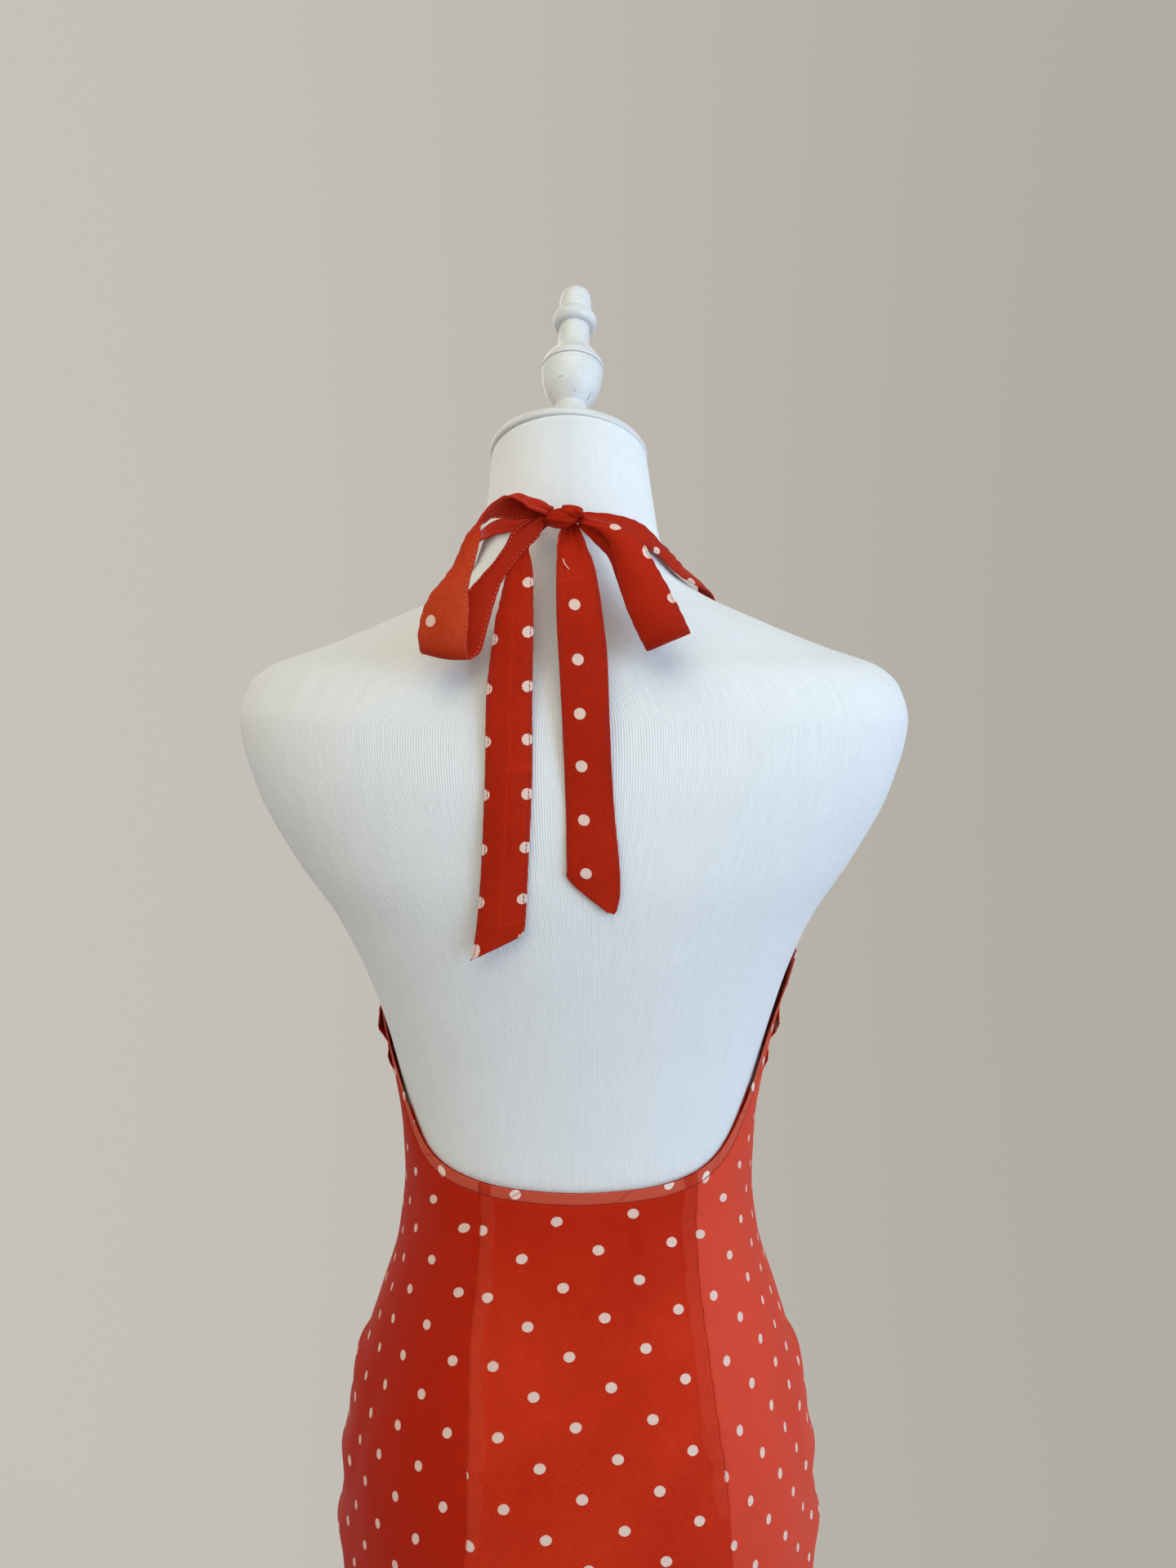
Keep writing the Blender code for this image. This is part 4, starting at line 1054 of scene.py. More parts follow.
def curve_through(points, share):
    """Points at shares of the way along a smooth curve through a table's points."""
    points = np.asarray(points, float)
    spans = len(points) - 1
    at = np.clip(share, 0.0, 1.0) * spans
    i = np.minimum(at.astype(int), spans - 1)
    s = (at - i)[:, None]
    padded = np.concatenate((2.0 * points[:1] - points[1:2], points, 2.0 * points[-1:] - points[-2:-1]))
    a, b, c, d = padded[i], padded[i + 1], padded[i + 2], padded[i + 3]
    bend = (2.0 * a - 5.0 * b + 4.0 * c - d) * s ** 2 + (3.0 * b - a - 3.0 * c + d) * s ** 3
    return 0.5 * (2.0 * b + (c - a) * s + bend)


# Ties, in millimetres: x, y, z of one edge, of the middle and of the other edge, a row for each
# section. Left and right are the wearer's.
STRAP_LEFT = (
    (70.3, -68.9, 1378.4, 79.5, -67.7, 1378.4, 88.5, -66.4, 1378.4),
    (70.2, -64.6, 1389.1, 79.8, -63.3, 1389.1, 89.8, -61.7, 1389.1),
    (72.0, -57.0, 1406.0, 82.5, -57.5, 1405.5, 93.0, -55.0, 1404.0),
    (77.0, -39.0, 1429.0, 86.0, -40.0, 1427.5, 94.5, -39.5, 1423.0),
    (76.0, -16.0, 1450.5, 81.5, -13.5, 1448.0, 86.0, -10.0, 1444.0),
    (72.5, 1.0, 1460.0, 71.8, 8.0, 1458.5, 70.5, 13.0, 1455.0),
    (67.6, 8.0, 1465.5, 65.8, 13.5, 1463.5, 64.0, 18.5, 1460.5),
    (62.9, 12.0, 1471.2, 60.8, 17.0, 1468.6, 59.2, 21.5, 1466.0),
    (58.2, 14.5, 1476.7, 57.0, 18.0, 1473.6, 56.2, 24.0, 1470.9),
    (53.6, 17.0, 1482.1, 54.0, 19.0, 1478.6, 54.4, 26.5, 1474.6),
    (49.8, 22.0, 1484.3, 50.2, 23.5, 1480.0, 50.2, 29.5, 1475.8),
    (46.2, 26.0, 1486.0, 46.2, 27.5, 1481.2, 45.4, 32.5, 1477.5),
    (41.5, 32.5, 1487.0, 41.0, 33.5, 1481.6, 40.3, 37.5, 1478.3),
    (34.9, 39.5, 1488.1, 34.5, 41.0, 1482.6, 33.9, 43.0, 1479.0),
    (28.2, 45.0, 1488.5, 28.2, 46.5, 1483.1, 28.1, 48.0, 1479.0),
    (17.6, 55.5, 1488.0, 17.6, 56.5, 1484.8, 17.6, 57.0, 1481.0),
)
STRAP_RIGHT = (
    (-70.3, -68.9, 1378.4, -79.5, -67.7, 1378.4, -88.5, -66.4, 1378.4),
    (-70.2, -64.6, 1389.1, -79.8, -63.3, 1389.1, -89.8, -61.7, 1389.1),
    (-72.0, -57.0, 1406.0, -82.5, -57.5, 1405.5, -93.0, -55.0, 1404.0),
    (-77.0, -39.0, 1429.0, -86.0, -40.0, 1427.5, -94.5, -39.5, 1423.0),
    (-76.0, -16.0, 1450.5, -81.0, -13.5, 1448.0, -85.5, -10.0, 1444.0),
    (-71.0, -2.0, 1456.0, -72.0, 6.0, 1454.5, -73.0, 11.0, 1450.5),
    (-66.0, 6.5, 1459.5, -65.0, 15.5, 1457.5, -63.5, 22.0, 1454.8),
    (-61.1, 12.0, 1464.6, -59.5, 20.0, 1461.8, -57.4, 25.0, 1459.4),
    (-55.5, 17.0, 1470.4, -53.5, 25.5, 1466.8, -51.4, 29.5, 1464.3),
    (-49.2, 25.0, 1475.5, -46.8, 33.5, 1471.3, -44.9, 36.0, 1468.5),
    (-43.1, 31.5, 1481.2, -41.4, 38.5, 1475.5, -39.6, 40.0, 1471.0),
    (-35.8, 38.5, 1485.0, -35.2, 42.5, 1478.3, -34.3, 44.0, 1472.8),
    (-26.8, 45.5, 1487.0, -27.2, 48.0, 1480.5, -27.7, 48.5, 1475.1),
    (-17.6, 50.0, 1487.9, -18.0, 52.0, 1482.4, -18.5, 52.5, 1477.4),
    (-4.9, 55.5, 1488.0, -4.9, 57.0, 1485.1, -4.9, 57.0, 1480.5),
)
LOOP_LEFT = (
    (11.1, 62.0, 1485.2, 11.2, 60.0, 1488.0, 11.3, 57.0, 1491.0),
    (16.2, 70.0, 1485.6, 16.3, 68.0, 1491.3, 18.4, 60.0, 1485.4),
    (22.8, 78.0, 1487.5, 23.1, 72.0, 1493.0, 25.0, 62.0, 1483.9),
    (28.2, 83.0, 1491.0, 29.5, 76.0, 1494.2, 32.4, 65.0, 1483.1),
    (34.4, 87.0, 1493.0, 37.1, 79.0, 1490.2, 38.9, 68.0, 1483.9),
    (40.3, 89.0, 1489.9, 42.6, 82.0, 1486.5, 44.2, 73.0, 1482.7),
    (45.4, 90.0, 1483.9, 47.3, 85.0, 1481.9, 47.7, 78.0, 1479.6),
    (47.6, 90.0, 1476.7, 49.5, 88.0, 1477.4, 52.0, 84.0, 1477.3),
    (47.7, 91.0, 1471.6, 51.8, 91.0, 1471.6, 55.8, 88.0, 1471.9),
    (49.0, 92.0, 1466.1, 53.8, 93.0, 1465.1, 58.6, 90.0, 1465.8),
    (51.1, 93.0, 1457.6, 56.7, 95.0, 1457.4, 62.3, 91.0, 1457.7),
    (53.3, 94.0, 1449.1, 60.8, 97.0, 1448.9, 68.3, 92.0, 1449.6),
    (54.4, 94.0, 1442.7, 64.2, 98.0, 1442.1, 74.2, 92.0, 1442.8),
    (53.9, 94.0, 1434.3, 66.0, 98.0, 1433.7, 78.9, 91.0, 1434.4),
    (54.4, 94.0, 1424.5, 67.6, 97.0, 1424.0, 81.4, 90.0, 1424.6),
    (55.4, 92.0, 1416.8, 68.0, 95.0, 1416.0, 81.9, 89.0, 1417.7),
    (55.2, 89.5, 1411.2, 68.0, 92.0, 1410.0, 81.3, 86.0, 1412.5),
    (53.9, 86.0, 1408.2, 67.6, 88.0, 1408.2, 79.9, 83.5, 1411.2),
    (51.1, 83.0, 1409.5, 65.8, 84.5, 1410.3, 78.5, 81.0, 1412.5),
    (48.6, 81.0, 1412.9, 62.5, 82.0, 1415.1, 75.1, 79.5, 1417.3),
    (45.2, 78.5, 1425.6, 56.5, 80.0, 1427.3, 67.1, 78.5, 1429.1),
    (42.2, 75.5, 1436.6, 51.2, 79.0, 1437.8, 60.5, 77.5, 1440.0),
    (38.8, 72.5, 1447.2, 46.4, 77.0, 1447.4, 53.9, 76.5, 1446.6),
    (35.0, 70.0, 1454.3, 41.2, 75.0, 1454.5, 47.8, 75.5, 1453.6),
    (29.7, 68.0, 1460.6, 36.0, 73.0, 1462.4, 42.1, 74.0, 1460.2),
    (24.0, 66.0, 1467.7, 30.4, 71.0, 1469.5, 36.4, 73.0, 1468.5),
    (18.3, 64.0, 1473.2, 24.7, 69.0, 1475.8, 32.1, 71.0, 1476.9),
    (15.6, 62.5, 1479.0, 19.9, 66.0, 1480.8, 25.6, 68.0, 1481.9),
    (12.1, 61.0, 1483.5, 14.7, 63.0, 1484.2, 18.2, 64.0, 1485.0),
)
LOOP_RIGHT = (
    (-2.2, 62.0, 1481.7, -3.1, 63.0, 1483.8, -4.0, 61.0, 1486.2),
    (-6.7, 68.0, 1479.8, -9.4, 70.0, 1481.3, -12.1, 66.0, 1484.1),
    (-12.0, 73.0, 1477.1, -16.4, 76.0, 1479.0, -20.8, 71.0, 1482.1),
    (-16.8, 77.0, 1473.3, -22.4, 81.0, 1475.5, -27.8, 75.0, 1477.8),
    (-20.3, 80.0, 1467.9, -27.1, 85.0, 1470.0, -33.8, 79.0, 1473.1),
    (-22.4, 83.0, 1460.8, -30.5, 88.0, 1463.4, -38.5, 82.0, 1467.3),
    (-24.1, 85.0, 1452.6, -33.4, 90.0, 1456.1, -43.1, 85.0, 1458.5),
    (-26.2, 87.0, 1444.3, -36.8, 92.0, 1447.5, -47.8, 87.0, 1450.3),
    (-29.2, 89.0, 1434.4, -40.7, 93.5, 1438.1, -52.5, 89.0, 1442.1),
    (-33.1, 90.0, 1425.4, -45.0, 94.0, 1429.2, -56.8, 90.0, 1434.0),
    (-36.6, 90.0, 1418.1, -48.1, 93.0, 1421.9, -60.3, 90.0, 1427.1),
    (-38.9, 88.0, 1413.8, -50.4, 91.0, 1417.9, -62.3, 88.0, 1423.3),
    (-39.7, 85.5, 1412.5, -51.5, 88.0, 1416.8, -63.2, 85.5, 1422.2),
    (-38.3, 83.0, 1415.1, -49.9, 85.5, 1419.0, -61.8, 83.0, 1424.7),
    (-34.4, 81.0, 1422.9, -45.6, 83.0, 1426.4, -57.5, 81.0, 1432.5),
    (-29.6, 78.5, 1433.9, -40.4, 81.0, 1436.4, -51.9, 78.5, 1442.6),
    (-25.2, 76.0, 1445.7, -34.8, 79.0, 1447.3, -45.0, 76.0, 1452.2),
    (-21.3, 73.5, 1457.6, -29.1, 76.0, 1458.7, -38.0, 73.5, 1463.2),
    (-18.7, 71.0, 1463.4, -24.3, 73.5, 1466.7, -31.5, 71.0, 1471.2),
    (-12.9, 68.0, 1469.8, -17.8, 70.5, 1472.6, -23.1, 68.0, 1476.7),
    (-7.2, 65.0, 1476.1, -10.7, 67.0, 1478.6, -14.3, 65.0, 1480.9),
    (-3.1, 62.0, 1479.9, -4.9, 63.0, 1482.0, -6.7, 62.0, 1483.9),
)
TAIL_LEFT = (
    (14.9, 58.5, 1481.2, 14.0, 58.5, 1481.2, 13.1, 58.5, 1481.6),
    (27.4, 60.5, 1475.2, 22.9, 61.0, 1474.7, 18.4, 60.5, 1475.7),
    (31.7, 63.5, 1467.5, 27.7, 64.0, 1467.5, 23.7, 63.5, 1467.9),
    (34.2, 67.0, 1459.3, 28.0, 68.0, 1459.3, 22.0, 67.0, 1459.3),
    (36.7, 71.0, 1450.3, 28.6, 72.5, 1450.2, 21.2, 71.0, 1450.3),
    (39.6, 76.0, 1437.0, 30.2, 78.0, 1436.9, 21.0, 76.0, 1437.0),
    (42.0, 79.5, 1426.0, 31.3, 82.0, 1426.0, 20.9, 79.5, 1426.0),
    (46.0, 84.0, 1390.0, 34.2, 85.6, 1390.0, 21.5, 84.0, 1390.0),
    (47.0, 90.0, 1345.0, 34.2, 91.4, 1345.0, 21.5, 90.0, 1345.0),
    (49.0, 93.0, 1300.0, 36.2, 93.8, 1300.0, 23.5, 93.0, 1300.0),
    (52.5, 91.0, 1262.0, 39.0, 91.6, 1264.0, 25.5, 91.0, 1266.0),
    (56.0, 90.0, 1243.5, 41.5, 90.6, 1250.8, 27.0, 90.5, 1258.0),
)
TAIL_RIGHT = (
    (4.9, 62.0, 1481.7, 1.8, 60.0, 1481.0, -2.2, 61.0, 1481.8),
    (7.5, 67.0, 1474.6, 1.8, 62.5, 1474.6, -5.4, 65.0, 1475.3),
    (8.1, 70.5, 1467.8, 0.9, 66.0, 1467.7, -8.1, 70.0, 1467.8),
    (8.4, 75.0, 1458.8, -0.6, 72.5, 1459.0, -11.6, 75.0, 1458.8),
    (8.6, 79.0, 1447.7, -2.4, 78.5, 1447.8, -14.0, 79.0, 1447.7),
    (8.3, 84.0, 1428.1, -4.1, 84.5, 1428.1, -16.8, 84.0, 1428.1),
    (7.2, 86.0, 1408.0, -6.0, 86.4, 1408.0, -19.0, 86.0, 1408.0),
    (5.2, 89.5, 1370.0, -7.6, 90.2, 1370.0, -20.3, 89.5, 1370.0),
    (3.5, 91.5, 1330.0, -9.5, 92.2, 1330.0, -22.5, 91.5, 1330.0),
    (3.0, 93.0, 1298.0, -11.2, 93.5, 1298.0, -25.5, 93.0, 1298.0),
    (2.0, 92.5, 1289.0, -11.5, 92.7, 1286.0, -26.0, 92.5, 1283.0),
    (-9.0, 92.0, 1279.0, -17.0, 92.1, 1276.5, -24.8, 92.0, 1274.0),
    (-18.5, 91.7, 1271.5, -21.0, 91.8, 1270.5, -23.0, 91.7, 1269.5),
)
TIE_WIDTH = 0.0255
TIE_THICKNESS = 0.0012
STITCH_INSET = 0.0017
STITCH_PITCH = 0.0026
TIE_ACROSS = 24
PLEAT_REACH = 0.016
PLEAT_RISE = 0.0011
STITCHED_HALF = 0.0055
PRINT_JUMP = 0.3


# The print's dots that show on the ties, in millimetres: along from the start, across from the middle
STRAP_RIGHT_DOTS = ((119.2, 7.8), (152.6, 4.6))
LOOP_LEFT_DOTS = ((86.0, 10.3), (110.1, 6.7))
LOOP_RIGHT_DOTS = ((25.3, 2.8), (47.3, 9.6), (74.6, 12.2))
TAIL_LEFT_DOTS = (
    (41.5, 5.3), (70.1, 8.1), (99.3, 9.7), (127.9, 10.0), (157.0, 10.3), (185.8, 10.6), (215.0, 10.9),
    (74.1, -11.0), (100.8, -12.3), (129.2, -12.6), (157.8, -12.8), (187.3, -12.8), (215.9, -12.9),
    (239.7, -13.4),
)
TAIL_RIGHT_DOTS = ((50.5, -2.2), (80.0, -2.8), (109.0, -3.0), (137.0, -3.4), (166.0, -3.6), (195.2, -4.0))


def nearest_dot(dots, along):
    """For each place along a tie: how far on the dots it is, the nearest one's place across, if near."""
    if not dots:
        return 0.0 * along + 0.5, 0.0 * along, np.zeros(along.shape, bool)
    table = np.array(dots, float) * 0.001
    apart = along[:, None] - table[None, :, 0]
    which = np.abs(apart).argmin(axis=1)
    distance = apart[np.arange(len(along)), which] / DOT_SPACING
    return which + distance, table[which, 1], np.abs(distance) < 0.5


def tie_print(dots, along, across):
    """The print on one face of a tie, with a dot at each place listed: along, across."""
    left = nearest_dot([dot for dot in dots if dot[1] < 0.0], along)
    right = nearest_dot([dot for dot in dots if dot[1] >= 0.0], along)
    both = (left[2] & right[2])[:, None]
    on_left = np.where(both, across < 0.0, left[2][:, None])
    near = (left[2] | right[2])[:, None]
    u_left = (across - left[1][:, None]) / DOT_SPACING
    u_right = 1.0 + (across - right[1][:, None]) / DOT_SPACING
    u = np.where(on_left, u_left, u_right)
    v = np.where(on_left, left[0][:, None], right[0][:, None])
    u = np.where(near, u, 0.5 + 0.7 * across / DOT_SPACING)
    return np.stack((u, np.broadcast_to(v, u.shape)), axis=-1)


def sheet_normals(grid):
    """Unit normals of a grid of points."""
    return unit(np.cross(np.gradient(grid, axis=0), np.gradient(grid, axis=1)))


def tie_relief(along, t, total, pleats, seed):
    """How far the gathers at a tie's ends, its puckers and its soft waves move the cloth."""
    start = np.exp(-along / PLEAT_REACH) * pleats[0]
    end = np.exp(-(total - along) / PLEAT_REACH) * pleats[1]
    gathers = PLEAT_RISE * (np.cos(t * 7.0 + seed) + 0.6 * np.cos(t * 12.0 - 1.3 + seed)) * (start + end)
    gathers = gathers * (1.0 - t ** 4)
    # Puckers along the stitch lines, uneven waves along the tie and a soft crease
    wobble = along * 2.0 * math.pi / 0.0085 + 1.6 * np.sin(along * 170.0 + seed)
    puckers = 0.00025 * np.sin(wobble + 1.3 * np.sign(t)) * bell(1.0 - np.abs(t), 0.16)
    waves = 0.0005 * np.sin(along * 61.0 + seed + 0.8 * t) * np.sin(along * 23.0 + 2.0 * seed)
    crease = 0.0003 * np.sin(t * 2.6 + along * 14.0 + seed)
    return gathers + puckers + waves + crease


def tie_stitches(name, across, half, faces_of_tie, normals, thread):
    """Topstitching along both edges of both faces of a tie, where it is wide enough."""
    wide = np.flatnonzero(half[:, 0] > STITCHED_HALF)
    runs = []
    for direction in (-1.0, 1.0):
        at = direction * (half[wide, 0] - STITCH_INSET)
        for side, surface in zip((1.0, -1.0), faces_of_tie):
            path, outwards = (
                np.array([[np.interp(x, across[r], grid[r, :, k]) for k in range(3)] for x, r in zip(at, wide)])
                for grid in (surface, normals * side)
            )
            runs.append((path, outwards, STITCH_PITCH))
    return stitches(name, runs, thread)


def build_tie(node, sections, dots, finish, thread, steps, facing, pleats, seed, held, taper):
    """A flat sewn tube of cloth through sections, with topstitching along both edges.

    facing is 1 or -1 for which way its outer face looks, pleats tells how strongly each end is
    bunched where the knot grips it, and taper is the share of the full width that it has.
    """
    table = np.asarray(sections, float) * 0.001
    share = np.linspace(0.0, 1.0, steps + 1)
    one, centre, other = (curve_through(table[:, k:k + 3], share)[:, None] for k in (0, 3, 6))
    # Positions across, closer together by the stitch lines and the edges
    t = np.linspace(-1.0, 1.0, TIE_ACROSS + 1)
    t = (np.sign(t) * (1.0 - (1.0 - np.abs(t)) ** 1.35))[None, :]
    s = t[..., None]
    grid = one * 0.5 * (s * s - s) + centre * (1.0 - s * s) + other * 0.5 * (s * s + s)
    along = lengths(grid, 0)[:, TIE_ACROSS // 2][:, None]
    total = along[-1, 0]
    across = lengths(grid, 1)
    half = 0.5 * across[:, -1:]
    across = across - half
    relief = tie_relief(along, t, total, pleats, seed)
    grid = grid + sheet_normals(grid) * facing * relief[..., None]
    normals = sheet_normals(grid) * facing
    inset = half - np.abs(across)
    profile = 0.5 * TIE_THICKNESS * np.sqrt(1.0 - (1.0 - np.clip(inset / 0.0008, 0.0, 1.0)) ** 2)
    profile = profile - 0.00016 * bell(inset - STITCH_INSET, 0.0006)
    front = grid + normals * profile[..., None]
    back = grid - normals * profile[..., None]
    rows, columns = grid.shape[:2]
    # The tube's ring: the front across, then the back the other way, sharing the two edges
    ring = np.concatenate((front, back[:, columns - 2:0:-1]), axis=1)
    count = ring.shape[1]
    faces = grid_faces(rows, count, closed=True)
    caps = ring_caps(rows, count)
    if facing > 0.0:
        faces = faces[:, ::-1]
        caps = [cap[::-1] for cap in caps]
    row, column = faces // count, faces % count
    column = np.where(column < columns, column, 2 * (columns - 1) - column)
    on_back = (np.tile(np.arange(count), rows - 1) >= columns - 1)[:, None, None]
    outer = tie_print(dots, along[:, 0], across)[row, column]
    inner = tie_print((), along[:, 0], across)[row, column]
    corner_print = np.where(on_back, inner, outer)
    # No face may carry the print across from one dot's place to the next
    jump = np.ptp(corner_print, axis=1).max(axis=-1) > PRINT_JUMP
    corner_print[jump] = 0.5
    seam = across / np.maximum(half - STITCH_INSET, 0.001)
    corner_seam = np.stack((seam, along + 0.0 * across), axis=-1)[row, column]
    cap_uv = np.full((2 * count, 2), 0.4)
    uvs = {
        "print": np.concatenate((corner_print.reshape(-1, 2), cap_uv)),
        "tie": np.concatenate((corner_seam.reshape(-1, 2), cap_uv)),
    }
    name = node + "_tie"
    piece = mesh_object(name, ring, faces.tolist() + caps, uvs, finish)
    sewn = tie_stitches(name + "_stitches", across, half, (front, back), normals, thread)
    flat, area = (TIE_WIDTH, total), taper * TIE_WIDTH * total
    return piece


# The knot, in millimetres: its lobe, the band wrapped over it and the band's rolled end, each from
# the wearer's left to the right: x, top z, bottom z, middle y, half depth
KNOT_LOBE = (
    (17.4, 1485.2, 1483.2, 61.0, 1.2),
    (16.6, 1486.3, 1481.6, 61.2, 2.6),
    (14.5, 1487.2, 1480.5, 61.8, 4.4),
    (11.0, 1488.0, 1479.2, 62.6, 6.2),
    (7.5, 1488.9, 1478.3, 63.2, 7.2),
    (4.6, 1489.2, 1478.4, 63.4, 7.4),
    (1.0, 1488.4, 1479.6, 63.0, 6.6),
    (-2.2, 1487.0, 1481.4, 62.4, 4.8),
    (-3.6, 1486.0, 1483.0, 62.0, 2.0),
)
KNOT_WRAP = (
    (5.8, 1489.6, 1484.6, 66.6, 2.2),
    (5.5, 1490.2, 1484.2, 66.8, 3.6),
    (4.6, 1490.6, 1484.0, 66.9, 4.4),
    (1.0, 1490.5, 1483.4, 66.8, 4.9),
    (-2.0, 1490.0, 1483.5, 66.4, 4.7),
    (-4.4, 1489.4, 1484.4, 65.4, 3.9),
    (-5.7, 1488.6, 1485.8, 64.0, 2.2),
)
KNOT_ROLL = (
    (-1.2, 1488.5, 1486.4, 70.2, 0.9),
    (-1.9, 1489.2, 1485.7, 70.2, 1.7),
    (-3.4, 1489.5, 1485.2, 69.8, 2.2),
    (-4.9, 1489.0, 1485.4, 68.8, 2.1),
    (-5.9, 1488.1, 1486.2, 67.6, 1.1),
)
KNOT_STEPS = 12
KNOT_AROUND = 72


def knot_part(table, seed):
    """Points of one rounded part of the knot, with a few soft pleats lying along it."""
    rows = np.array(table)
    share = np.linspace(0.0, 1.0, KNOT_STEPS * (len(rows) - 1) + 1)
    x, top, bottom, y, depth = (column[:, None] for column in curve_through(rows, share).T)
    turn = np.linspace(0.0, 2.0 * math.pi, KNOT_AROUND, endpoint=False)[None, :]
    pleat = 1.0 + 0.055 * np.sin(5.0 * turn + seed + 0.16 * x) + 0.03 * np.sin(9.0 * turn - 0.3 * x + seed)
    across = power(np.cos(turn), 0.85) * depth * pleat
    up = 0.5 * (top - bottom) * pleat * power(np.sin(turn), 0.85)
    points = np.stack((x + 0.0 * turn, y + across, 0.5 * (top + bottom) + up), axis=-1)
    u = np.broadcast_to(turn * 0.006 / DOT_SPACING + 0.31, points.shape[:2])
    v = np.broadcast_to(x * 0.001 / DOT_SPACING + 0.45, points.shape[:2])
    return points * 0.001, np.stack((u, v), axis=-1)


def build_knot(finish):
    """The knot: a lobe on the wearer's left, a band wrapped over it and the band's rolled end."""
    points, sides, caps, values = [], [], [], []
    first = 0
    for table, seed in ((KNOT_LOBE, 0.4), (KNOT_WRAP, 2.2), (KNOT_ROLL, 4.0)):
        part, print_uv = knot_part(table, seed)
        quads = grid_faces(len(part), KNOT_AROUND, closed=True)[:, ::-1]
        values.append(print_uv.reshape(-1, 2)[quads.ravel()])
        sides += (quads + first).tolist()
        caps += [tuple(first + v for v in cap[::-1]) for cap in ring_caps(len(part), KNOT_AROUND)]
        points.append(part.reshape(-1, 3))
        first += len(points[-1])
    values.append(np.full((len(caps) * KNOT_AROUND, 2), 0.45))
    uvs = {"print": np.concatenate(values)}
    return mesh_object("bow_knot", np.concatenate(points), sides + caps, uvs, finish)


# The loose thread that hangs beside the knot, in millimetres
LOOSE_THREAD = (
    (4.9, 73.6, 1461.4),
    (4.7, 75.2, 1460.2),
    (4.1, 75.9, 1458.8),
    (3.0, 75.9, 1457.2),
    (1.8, 75.0, 1455.8),
)
THREAD_RADIUS = 0.00022
THREAD_AROUND = 8


def build_loose_thread(finish):
    centre = curve_through(np.array(LOOSE_THREAD) * 0.001, np.linspace(0.0, 1.0, 41))
    ahead = unit(np.gradient(centre, axis=0))
    aside = unit(np.cross(ahead, (0.0, 1.0, 0.0)))
    out = np.cross(ahead, aside)
    turn = np.linspace(0.0, 2.0 * math.pi, THREAD_AROUND, endpoint=False)[None, :, None]
    ring = aside[:, None] * np.cos(turn) + out[:, None] * np.sin(turn)
    points = centre[:, None] + THREAD_RADIUS * ring
    faces = grid_faces(len(centre), THREAD_AROUND, closed=True).tolist()
    faces += ring_caps(len(centre), THREAD_AROUND)
    return mesh_object("loose_thread", points, faces, {}, finish)


# The form and its stand

CAP_AXIS = unit(np.array((-0.032, -math.sin(math.radians(CAP_TILT)), math.cos(math.radians(CAP_TILT)))))
SEAM_GAP = 0.0003
WOOD_SHIFT = 0.0030
WOOD_WEAR = 0.00007
# Turned profiles: rows of height up the axis and radius
PLATE_PROFILE = (
    (0.0000, 0.0005), (0.0000, 0.0438), (0.0001, 0.0456), (0.0005, 0.0464), (0.0011, 0.0468),
    (0.0036, 0.0467), (0.0048, 0.0460), (0.0056, 0.0449), (0.0061, 0.0434), (0.0062, 0.0418),
    (0.0062, 0.0200), (0.0062, 0.0005),
)
PLATE_THICKNESS = PLATE_PROFILE[-1][0]
FINIAL_PROFILE = (
    (0.0000, 0.0150), (0.0035, 0.0157), (0.0080, 0.0150), (0.0150, 0.0128), (0.0240, 0.0112),
    (0.0290, 0.0099), (0.0312, 0.0094), (0.0320, 0.0098), (0.0335, 0.0110), (0.0360, 0.0128),
    (0.0395, 0.0149), (0.0440, 0.0168), (0.0490, 0.0180), (0.0540, 0.0186), (0.0572, 0.0187),
    (0.0575, 0.0180), (0.0580, 0.0180), (0.0583, 0.0189), (0.0594, 0.0190), (0.0630, 0.0178),
    (0.0665, 0.0154), (0.0692, 0.0128), (0.0714, 0.0110), (0.0740, 0.0100), (0.0790, 0.0096),
    (0.0880, 0.0094), (0.0890, 0.0096), (0.0895, 0.0112), (0.0905, 0.0125), (0.0930, 0.0134),
    (0.0955, 0.0134), (0.0975, 0.0125), (0.0987, 0.0112), (0.0994, 0.0103), (0.1005, 0.0100),
    (0.1050, 0.0099), (0.1092, 0.0097), (0.1126, 0.0090), (0.1150, 0.0077), (0.1166, 0.0058),
    (0.1175, 0.0034), (0.1178, 0.0003),
)
FINIAL_STEPS = 4
BASE_PROFILE = (
    (0.0000, 0.1880), (0.0006, 0.1894), (0.0020, 0.1900), (0.0140, 0.1900), (0.0170, 0.1888),
    (0.0200, 0.1860), (0.0214, 0.1830), (0.0220, 0.1800), (0.0220, 0.1600), (0.0214, 0.1593),
    (0.0214, 0.1577), (0.0220, 0.1570), (0.0220, 0.0600), (0.0220, 0.0010),
)
COLLAR_PROFILE = (
    (0.0000, 0.0280), (0.0060, 0.0338), (0.0068, 0.0340), (0.0140, 0.0340), (0.0145, 0.0334),
    (0.0155, 0.0334), (0.0160, 0.0340), (0.0300, 0.0340),
)
COLLAR_FOOT = TORSO_BOTTOM - SEAM_GAP - COLLAR_PROFILE[-1][0]
POLE_RADIUS = 0.016
POLE_FOOT = BASE_PROFILE[-1][0] + SEAM_GAP
POLE_PROFILE = (
    (0.0000, 0.0298), (0.0006, 0.0300), (0.0088, 0.0300), (0.0100, 0.0288), (0.0118, 0.0262),
    (0.0140, 0.0200), (0.0160, POLE_RADIUS), (0.3000, POLE_RADIUS),
    (COLLAR_FOOT - SEAM_GAP - POLE_FOOT, POLE_RADIUS),
)
